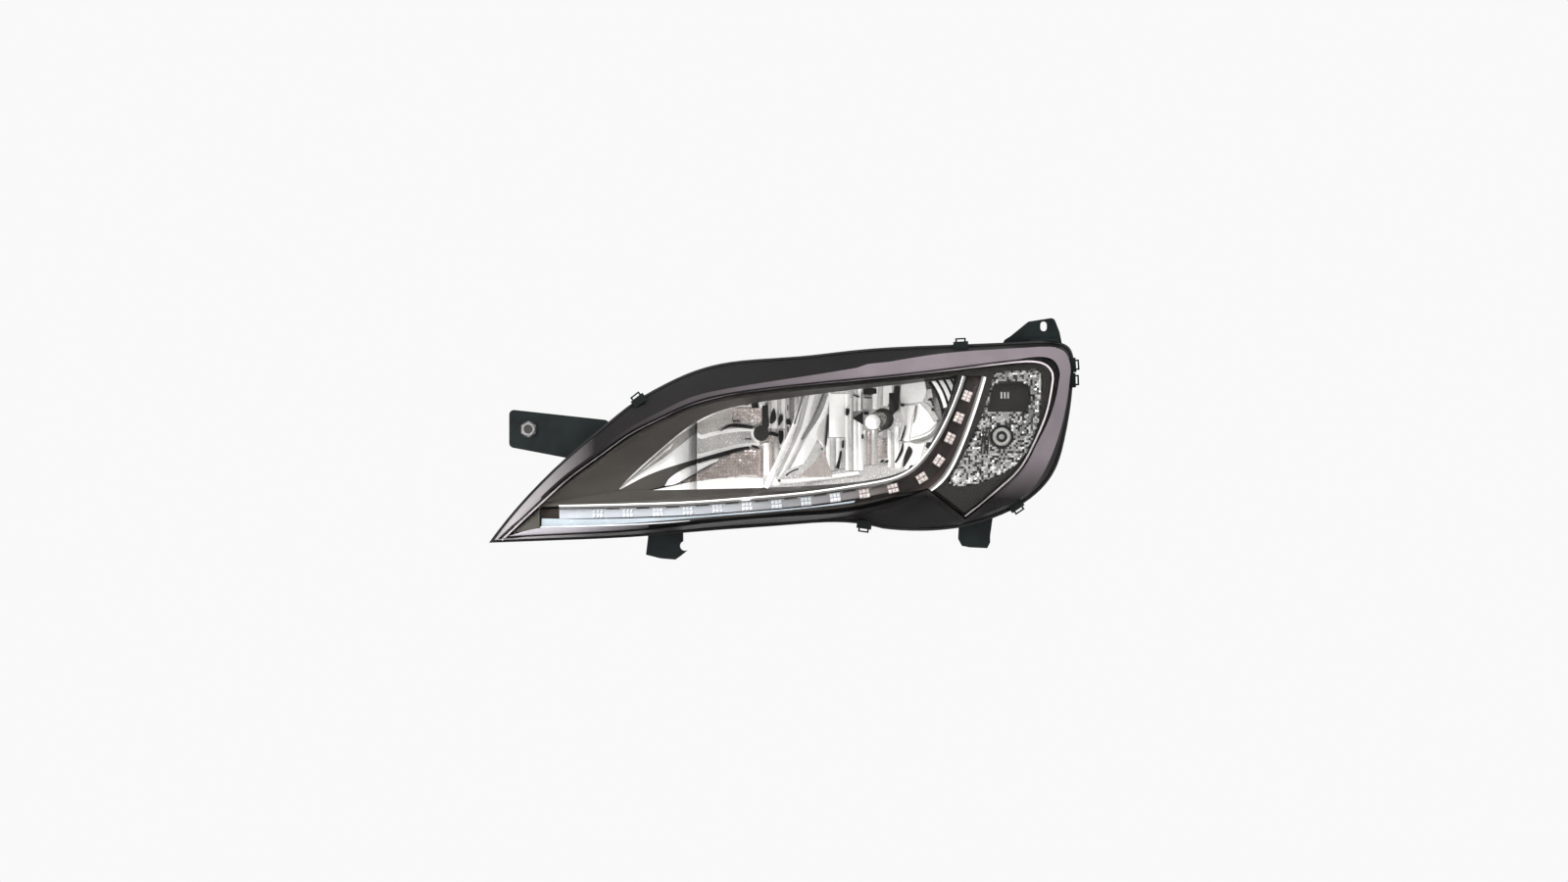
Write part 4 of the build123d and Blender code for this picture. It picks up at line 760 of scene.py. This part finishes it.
def bulb_ends(looks):
    """The pale end of the low-beam bulb, as its glass shows it: a painted highlight."""
    button = Sheets()
    cx, cz, reach = 104.0, 20.0, 9.5
    turns = [math.radians(a) for a in range(0, 361, 12)]
    ring = [(cx + reach * math.cos(t), cz + reach * math.sin(t)) for t in turns]
    core = [(cx + 0.3 * math.cos(t), cz + 0.3 * math.sin(t)) for t in turns]
    button.sheet(ring, core, lambda x, z: 86 - 5 * (1 - (math.hypot(x - cx, z - cz) / reach) ** 2), 31, 6, 0)
    button.build("low_beam_button", looks["white"], "reflectors", "bright_metal")


# ---- Fixed wing ----
WING_TOP = [(-213.5, -65.8), (-188.7, -41.7), (-165.2, -18.2), (-141.6, 3.3), (-126, 14), (WING_END, 24.2)]
WING_HIGHLIGHT = [(-213, -66), (-186.5, -43.2), (-162.4, -20.4), (-139, 0.2), (-125, 10), (WING_END, 20.2)]
LIP_EDGE = [(-206, -61.5), (-178.4, -41.7), (-152.9, -24.3), (-129.4, -5.9), (-120, 2), (WING_END, 9.6)]
SCOOP_EDGE = [(-206, -63), (-178.4, -48.2), (-154.9, -38.6), (-129.4, -30.4), (-120, -27.6),
              (WING_END, -24.8)]
WEDGE_EDGE = [(-204, -65), (-182.5, -64.2), (-172.3, -63.4), (-152, -58), (-147.8, -51), (-137.6, -42.7),
              (-125, -36), (WING_END, -30.4)]
SWOOP_EDGE = [(-150.5, -58.6), (-137.6, -56), (-122.2, -47.8), (WING_END, -40.2)]
STRIP_EDGE = [(-170, -64.4), (-152, -60.6), (-137.6, -57.4), (-124, -54.6), (WING_END, -52.7)]


def wing(looks):
    """The fixed scoop inwards of the high beam: grey lip, bright scoop, dark wedge and lower swoop. The lip's
    grey, the scoops' white with the highlight strip along the top, and the tiles' warm grey are painted
    reflections on the one metallised wing.
    """
    lip, scoop, lower, fin = Sheets(), Sheets(), Sheets(), Sheets()
    scoop.sheet(WING_TOP, WING_HIGHLIGHT, wing_y, 30, 4, 0.8)
    lip.sheet(WING_HIGHLIGHT, LIP_EDGE, wing_y, 30, 8, 1.5)
    scoop.sheet(LIP_EDGE, SCOOP_EDGE, wing_y, 30, 10, -2.0)
    fin.sheet(SCOOP_EDGE, WEDGE_EDGE, wing_y, 30, 8, 0, lift=1.0)
    lower.sheet(WEDGE_EDGE[3:], SWOOP_EDGE, wing_y, 20, 6, 1.4)
    fin.stroke([(-150, -58.8, 0.6), (-137.6, -56.4, 1.2), (-122.2, -48.2, 1.2), (WING_END, -40.8, 0.9)],
               wing_y, 2.2, 16)
    lower.sheet(STRIP_EDGE, [(-170, -65.6), (-152, -65.4), (WING_END, -64.6)], wing_y, 20, 6, 1.0)
    tiles = Sheets()
    step = 3.6
    for i in range(8):
        for j in range(5):
            x, z = -137.5 + step * (i + 0.5), -57.5 + step * (j + 0.5)
            if inside(SWOOP_EDGE[1:] + [(WING_END, -52.4), (-137.6, -56.8)], x, z):
                tilt = (rng.uniform(-0.4, 0.4), rng.uniform(-0.4, 0.4))
                tiles.facet(x, z, step * 0.49, wing_y, tilt, 0.7)
    scoop.build("wing_scoop", looks["white"], "lamp_body", "bright_metal", replaced=["wing_reflector"])
    lip.build("wing_lip", looks["lip"], "lamp_body", "bright_metal")
    lower.build("wing_lower_scoop", looks["white"], "lamp_body", "bright_metal")
    fin.build("wing_fin", looks["bezel"], "lamp_body", "trim_grey")
    tiles.build("wing_tiles", looks["warm_painted_reflection"], "lamp_body", "bright_metal", smooth=False)


# ---- Louvres, running light and corner ----
def led_spots():
    """Centres of the LED dies, from the frame, top of the strip first."""
    mesh = nodes["drl_leds"].data
    spots = []
    for vertex in mesh.vertices:
        point = vertex.co * 1000 + NUT
        for spot in spots:
            if math.hypot(point.x - spot[0] / spot[2], point.z - spot[1] / spot[2]) < 8:
                spot[0] += point.x
                spot[1] += point.z
                spot[2] += 1
                break
        else:
            spots.append([point.x, point.z, 1])
    centres = [(x / n, z / n) for x, z, n in spots]
    return sorted(centres, key=lambda c: -c[0])


BLADE_PATH = [(-277, -84), (-200, -82.5), (-121, -80), (-50, -75), (18, -69), (80, -60.5), (126, -52),
              (150, -41), (165, -27), (178, -10), (190, 10), (202, 35), (212, 60), (217, 76)]
OUTER_BLADE_PATH = [(241, 76), (233, 50), (222, 18), (211, -10), (199, -35), (187, -52), (171, -65)]


def shifted(path, shift):
    """A path moved sideways, to its left for a positive shift."""
    moved = []
    for index, (x, z) in enumerate(path):
        xa, za = path[max(index - 1, 0)]
        xb, zb = path[min(index + 1, len(path) - 1)]
        length = math.hypot(xb - xa, zb - za)
        moved.append((x - (zb - za) / length * shift, z + (xb - xa) / length * shift))
    return moved


def running_light(looks):
    """Pillow optics over each LED in two rows of three, in warm and cool tones that are painted reflections,
    dark dashes between them painted as shadow under the blade, and a haze at the inner end.
    """
    warm, cool, gaps = Sheets(), Sheets(), Sheets()
    centres = led_spots()
    for index, (x, z) in enumerate(centres):
        xa, za = centres[max(index - 1, 0)]
        xb, zb = centres[min(index + 1, len(centres) - 1)]
        length = math.hypot(xb - xa, zb - za)
        ax, az = (xb - xa) / length, (zb - za) / length
        group = warm if x > 60 else cool
        for row in (-1, 0, 1):
            for column in (-1, 1):
                u, v = row * 4.4, column * 2.9
                px, pz = x + ax * u - az * v, z + az * u + ax * v
                pillow(group, px, pz, (ax, az), 2.0, 2.5, strip_y, 1.6)
        if -225 < x < 150:
            gap_x, gap_z = (x + xb) / 2, (z + zb) / 2
            side = 1 if ax < 0 else -1
            start = (gap_x - ax * 8 + az * side * 4.4, gap_z - az * 8 - ax * side * 4.4)
            end = (gap_x + ax * 8 + az * side * 4.4, gap_z + az * 8 - ax * side * 4.4)
            gaps.sheet([start, end], [(start[0], start[1] + 1.9), (end[0], end[1] + 1.9)], strip_y, 6, 3, 0)
    warm.build("drl_pillow_optics", looks["pillow"], "lamp_body", "clear_inner")
    cool.build("drl_pillow_optics_inner", looks["pillow_cool"], "lamp_body", "clear_inner")
    gaps.build("drl_painted_shadow_dashes", looks["gap"], "lamp_body", "shield_black", smooth=False)
    haze = Sheets()
    haze.sheet(shifted(BLADE_PATH[:7], -2.2), shifted(BLADE_PATH[:7], -13.4), leaning(13.8), 30, 5,
               0.6, 0.5)
    haze.build("drl_haze_strip", looks["haze"], "lamp_body", "milky_guide")
    # Bright bands along the blades' bevels, white as a painted highlight.
    bevels = Sheets()
    bevels.sheet(shifted(BLADE_PATH, 1.3), shifted(BLADE_PATH, 3.2), leaning(19.6), 60, 4, 0.5, 1.0)
    bevels.sheet(shifted(OUTER_BLADE_PATH, 0.0), shifted(OUTER_BLADE_PATH, 3.0), leaning(19.6), 40, 4,
                 0.5, 1.0)
    bevels.build("drl_blade_bevels", looks["white"], "lamp_body", "bright_metal")


strip_y = leaning(14.6)


def pillow(group, x, z, along, half_u, half_v, depth, rise, cells=4):
    """A small domed block, turned to follow a strip."""
    ax, az = along
    start = len(group.vertices)
    for i in range(cells + 1):
        for j in range(cells + 1):
            u, v = -1 + 2 * i / cells, -1 + 2 * j / cells
            px = x + ax * u * half_u - az * v * half_v
            pz = z + az * u * half_u + ax * v * half_v
            swell = rise * (1 - u ** 4) * (1 - v ** 4)
            group.vertices.append((px, depth(px, pz) - swell, pz))
    count = cells + 1
    for i in range(cells):
        for j in range(cells):
            a = start + i * count + j
            group.faces.append((a, a + 1, a + count + 1, a + count))
    ring = [start + i * count for i in range(count)]
    ring += [start + cells * count + j for j in range(1, count)]
    ring += [start + i * count + cells for i in range(cells - 1, -1, -1)]
    ring += [start + j for j in range(cells - 1, 0, -1)]
    group.faces.append(tuple(ring))


CORNER_CELL = [(254, 81), (285, 84.5), (308, 85.5), (313.5, 80), (314, 62), (309, 20), (295, -17),
               (278, -35), (256, -47), (232, -56), (205, -60), (196, -55), (206, -37), (222, -6), (237, 25),
               (246, 52)]
CORNER_CORE = [(249, 75), (303, 79), (305, 60), (298, 20), (284, -14), (262, -32), (226, -46), (210, -40),
               (228, -8), (243, 28)]     # fewer painted glints and more dark pillows than the margin round it
TURN_WINDOW = [(252, 66), (262, 70), (290, 69), (298, 62), (298, 40), (290, 32), (246, 32), (247, 48)]
SIDE_WINDOW = 15.0
CORNER_PITCH = 2.7
CORNER_START = (194, -62)
CORNER_STEPS = (46, 56)
corner_y = leaning(12.6)


def corner_pillows(looks):
    """The textured part of the corner's inner lens, with a plain window for each lamp. The pillows drawn
    bright at random are painted glints.
    """
    bright, middle, dark = Sheets(), Sheets(), Sheets()
    half = CORNER_PITCH * 0.48
    for i in range(CORNER_STEPS[0]):
        for j in range(CORNER_STEPS[1]):
            x = CORNER_START[0] + CORNER_PITCH * (i + 0.5)
            z = CORNER_START[1] + CORNER_PITCH * (j + 0.5)
            if not inside(CORNER_CELL, x, z) or inside(TURN_WINDOW, x, z):
                continue
            if math.hypot(x - SIDE[0], z - SIDE[1]) < SIDE_WINDOW:
                continue
            glint_share, middle_share = (0.13, 0.66) if inside(CORNER_CORE, x, z) else (0.42, 0.78)
            draw = rng.random()
            group = bright if draw < glint_share else middle if draw < middle_share else dark
            pillow(group, x, z, (1, 0), half, half, corner_y, rng.uniform(0.7, 1.4), 3)
    bright.build("corner_pillows_painted_glint", looks["pillow_painted_glint"], "lamp_body", "clear_inner")
    middle.build("corner_pillows", looks["pillow_glass"], "lamp_body", "clear_inner")
    dark.build("corner_pillows_dark", looks["pillow_dark"], "lamp_body", "clear_inner")


def corner_rings(looks):
    """The side light's ring, painted bright as a highlight, and its surround painted dark as shade; bright
    bars painted as highlights beside the indicator bulb; dark strips painted as shade; and the indicator's
    recess painted dark as shade.
    """
    bright, dark, highlight_bars = Sheets(), Sheets(), Sheets()
    cx, cz = SIDE
    turns = [math.radians(a) for a in range(0, 361, 10)]

    def ring(radius):
        return [(cx + radius * math.cos(t), cz + radius * math.sin(t)) for t in turns]

    dark.sheet(ring(14.6), ring(11.4), leaning(10.0), 37, 4, 0.6)
    bright.sheet(ring(11.6), ring(7.0), leaning(9.4), 37, 6, 1.8)
    bright.sheet(ring(3.4), ring(0.3), leaning(6.0), 37, 4, 1.0)
    for index in range(3):
        x = 262.0 + 4.2 * index
        highlight_bars.sheet([(x, 57), (x, 49)], [(x + 2.0, 57), (x + 2.0, 49)], leaning(10.4), 6, 4, 0.5)
    for index in range(3):
        x = 236.0 + 3.8 * index
        dark.sheet([(x + 3, 12), (x, -20)], [(x + 4.8, 12), (x + 2.0, -20)], leaning(14.2), 10, 3,
                   0.2, 0.6)
    window = Sheets()
    window.sheet([(247, 66), (247, 33)], [(297, 68), (297, 33)], leaning(-2.0), 12, 12, -3.0)
    dark.build("corner_painted_shade", looks["painted_shade_black"], "lamp_body", "shield_black")
    bright.build("side_light_ring", looks["white"], "lamp_body", "bright_metal")
    highlight_bars.build("turn_signal_painted_highlights", looks["white"], "lamp_body", "bright_metal")
    window.build("turn_signal_recess", looks["gap"], "lamp_body", "shield_black")


# ---- Lens edge details ----
CREASE_LINE = [(-347, -120), (-305, -80), (-268, -46), (-229, -17), (-194.5, 8), (-158, 27), (-121, 44),
               (-72, 57), (-23, 64), (30, 70), (82, 75), (186, 86), (260, 95), (290, 98), (308, 97.5),
               (321, 93), (329, 83), (330, 70), (322, 31), (306, -7), (287, -40), (258, -67), (238, -84),
               (218, -99)]


def under_crown(x, z):
    """Just inside the lens's crown, or inside its flank where that is lower."""
    crown = 40.0 - (x * x + z * z) / 10800
    return lean_y(x, z, min(crown, 31.5) - 5.2)


def lens_edges(looks):
    """The pale strip that follows the lens's crease, a painted highlight, and the frosted edge at its pointed
    end.
    """
    painted_crease_highlight = Sheets()
    painted_crease_highlight.sheet(shifted(CREASE_LINE, -2.2), shifted(CREASE_LINE, -4.4), under_crown, 150, 3, 0.3, 0.8)
    painted_crease_highlight.build("lens_crease_painted_highlight", looks["painted_crease_highlight"], "lamp_body", "clear_lens")
    tip = Sheets()
    tip.sheet([(-336, -117.5), (-300, -108.5), (-240, -107.0), (-170, -104.5)],
              [(-336, -118.5), (-300, -116.2), (-240, -114.0), (-170, -109.6)], leaning(19.4), 30, 6, 0.6,
              1.0)
    tip.build("lens_tip_frost", looks["tip"], "lamp_body", "clear_lens")
    line = Sheets()
    line.stroke([(-299, -107.2, 1.2), (-240, -106.2, 1.7), (-170, -103.6, 1.5), (-120, -100.4, 0.8)],
                leaning(20.2), 0, 30, 3, 0.2, 0.8)
    line.build("light_guide_edge", looks["pillow_cool"], "lamp_body", "milky_guide")


# ---- Surroundings ----
def make_camera():
    camera = bpy.data.objects.new("camera", bpy.data.cameras.new("camera"))
    bpy.context.scene.collection.objects.link(camera)
    camera.location = at(-6.0, -7200.0, -3.6)
    camera.rotation_euler = (math.radians(90), 0, 0)
    camera.data.sensor_width = 36
    camera.data.lens = 135
    bpy.context.scene.camera = camera


def make_floor():
    mesh = bpy.data.meshes.new("floor")
    half, level = 6.0, cad_low.z - 0.62
    corners = [(-half, -half, level), (half, -half, level), (half, 2.4, level), (-half, 2.4, level)]
    mesh.from_pydata(corners, [], [(0, 1, 2, 3)])
    mesh.materials.append(surface("floor_pale", grey(0.86), grey(0.90), 0.8, grain=60, bump=0.02, patch=2.0))
    floor = bpy.data.objects.new("floor", mesh)
    bpy.context.scene.collection.objects.link(floor)


LAMP_MIDDLE = Vector((0.31, 0.0, 0.0))


def soft_light(name, place, size, power):
    data = bpy.data.lights.new(name, "AREA")
    data.shape = "RECTANGLE"
    data.size, data.size_y = size
    data.energy = power
    light = bpy.data.objects.new(name, data)
    bpy.context.scene.collection.objects.link(light)
    light.location = place
    light.rotation_euler = (LAMP_MIDDLE - Vector(place)).to_track_quat("-Z", "Y").to_euler()


# Grey levels from straight ahead to straight behind, and from straight down to straight up
SKY_AHEAD = ((0.0, 0.30), (0.115, 0.32), (0.22, 1.25), (0.55, 1.25), (1.0, 0.7))
SKY_HEIGHT = ((0.0, 0.35), (0.35, 0.60), (0.5, 0.95), (1.0, 1.2))


def make_world():
    """Pale to the camera. As a light it is bright above and at both sides, and dim ahead and below."""
    world = bpy.data.worlds.new("studio")
    bpy.context.scene.world = world
    world.use_nodes = True
    tree = world.node_tree
    tree.nodes.clear()
    out = tree.nodes.new("ShaderNodeOutputWorld")
    seen = node(tree, "ShaderNodeBackground", Color=(0.947, 0.947, 0.947, 1), Strength=1.0)
    lit = node(tree, "ShaderNodeBackground", Strength=1.0)
    place = tree.nodes.new("ShaderNodeTexCoord")
    split = tree.nodes.new("ShaderNodeSeparateXYZ")
    tree.links.new(place.outputs["Generated"], split.inputs["Vector"])
    ahead = world_ramp(tree, split.outputs["Y"], SKY_AHEAD)
    height = world_ramp(tree, split.outputs["Z"], SKY_HEIGHT)
    product = tree.nodes.new("ShaderNodeMix")
    product.data_type = "RGBA"
    product.blend_type = "MULTIPLY"
    product.inputs["Factor"].default_value = 1.0
    tree.links.new(ahead.outputs["Color"], product.inputs[6])
    tree.links.new(height.outputs["Color"], product.inputs[7])
    tree.links.new(product.outputs[2], lit.inputs["Color"])
    ray = tree.nodes.new("ShaderNodeLightPath")
    mix = tree.nodes.new("ShaderNodeMixShader")
    tree.links.new(ray.outputs["Is Camera Ray"], mix.inputs["Fac"])
    tree.links.new(lit.outputs["Background"], mix.inputs[1])
    tree.links.new(seen.outputs["Background"], mix.inputs[2])
    tree.links.new(mix.outputs["Shader"], out.inputs["Surface"])


def world_ramp(tree, source, stops):
    """Grey levels along one direction of the sky, from -1 to 1."""
    span = tree.nodes.new("ShaderNodeMapRange")
    span.inputs["From Min"].default_value = -1
    tree.links.new(source, span.inputs["Value"])
    ramp = tree.nodes.new("ShaderNodeValToRGB")
    for position, level in stops:
        stop = ramp.color_ramp.elements.new(position)
        stop.color = (level, level, level, 1)
    ramp.color_ramp.elements.remove(ramp.color_ramp.elements[0])
    ramp.color_ramp.elements.remove(ramp.color_ramp.elements[-1])
    tree.links.new(span.outputs["Result"], ramp.inputs["Fac"])
    return ramp


def make_lights():
    soft_light("key_left", (-2.0, -3.6, 1.8), (2.0, 2.0), 350)
    soft_light("fill_left", (-2.2, -3.0, -0.2), (1.2, 1.2), 110)
    soft_light("side_right", (3.4, -0.9, 0.6), (1.2, 1.8), 70)
    soft_light("top", (0.3, -1.4, 2.8), (2.6, 1.4), 110)


def main():
    make_camera()
    bpy.context.scene.view_settings.view_transform = "Standard"
    looks = {**make_metals(), **make_plastics(), **make_clears()}
    dress_nodes(looks)
    dress_lens_flank(looks)
    dress_louvres(looks)
    dress_nut(looks)
    for make in (high_textured, high_swoop, high_flutes, high_marks, divider, low_panels, low_flutes, low_eye,
                 low_marks, bulb_ends, wing, running_light, corner_pillows, corner_rings, lens_edges):
        make(looks)
    make_floor()
    make_world()
    make_lights()


main()
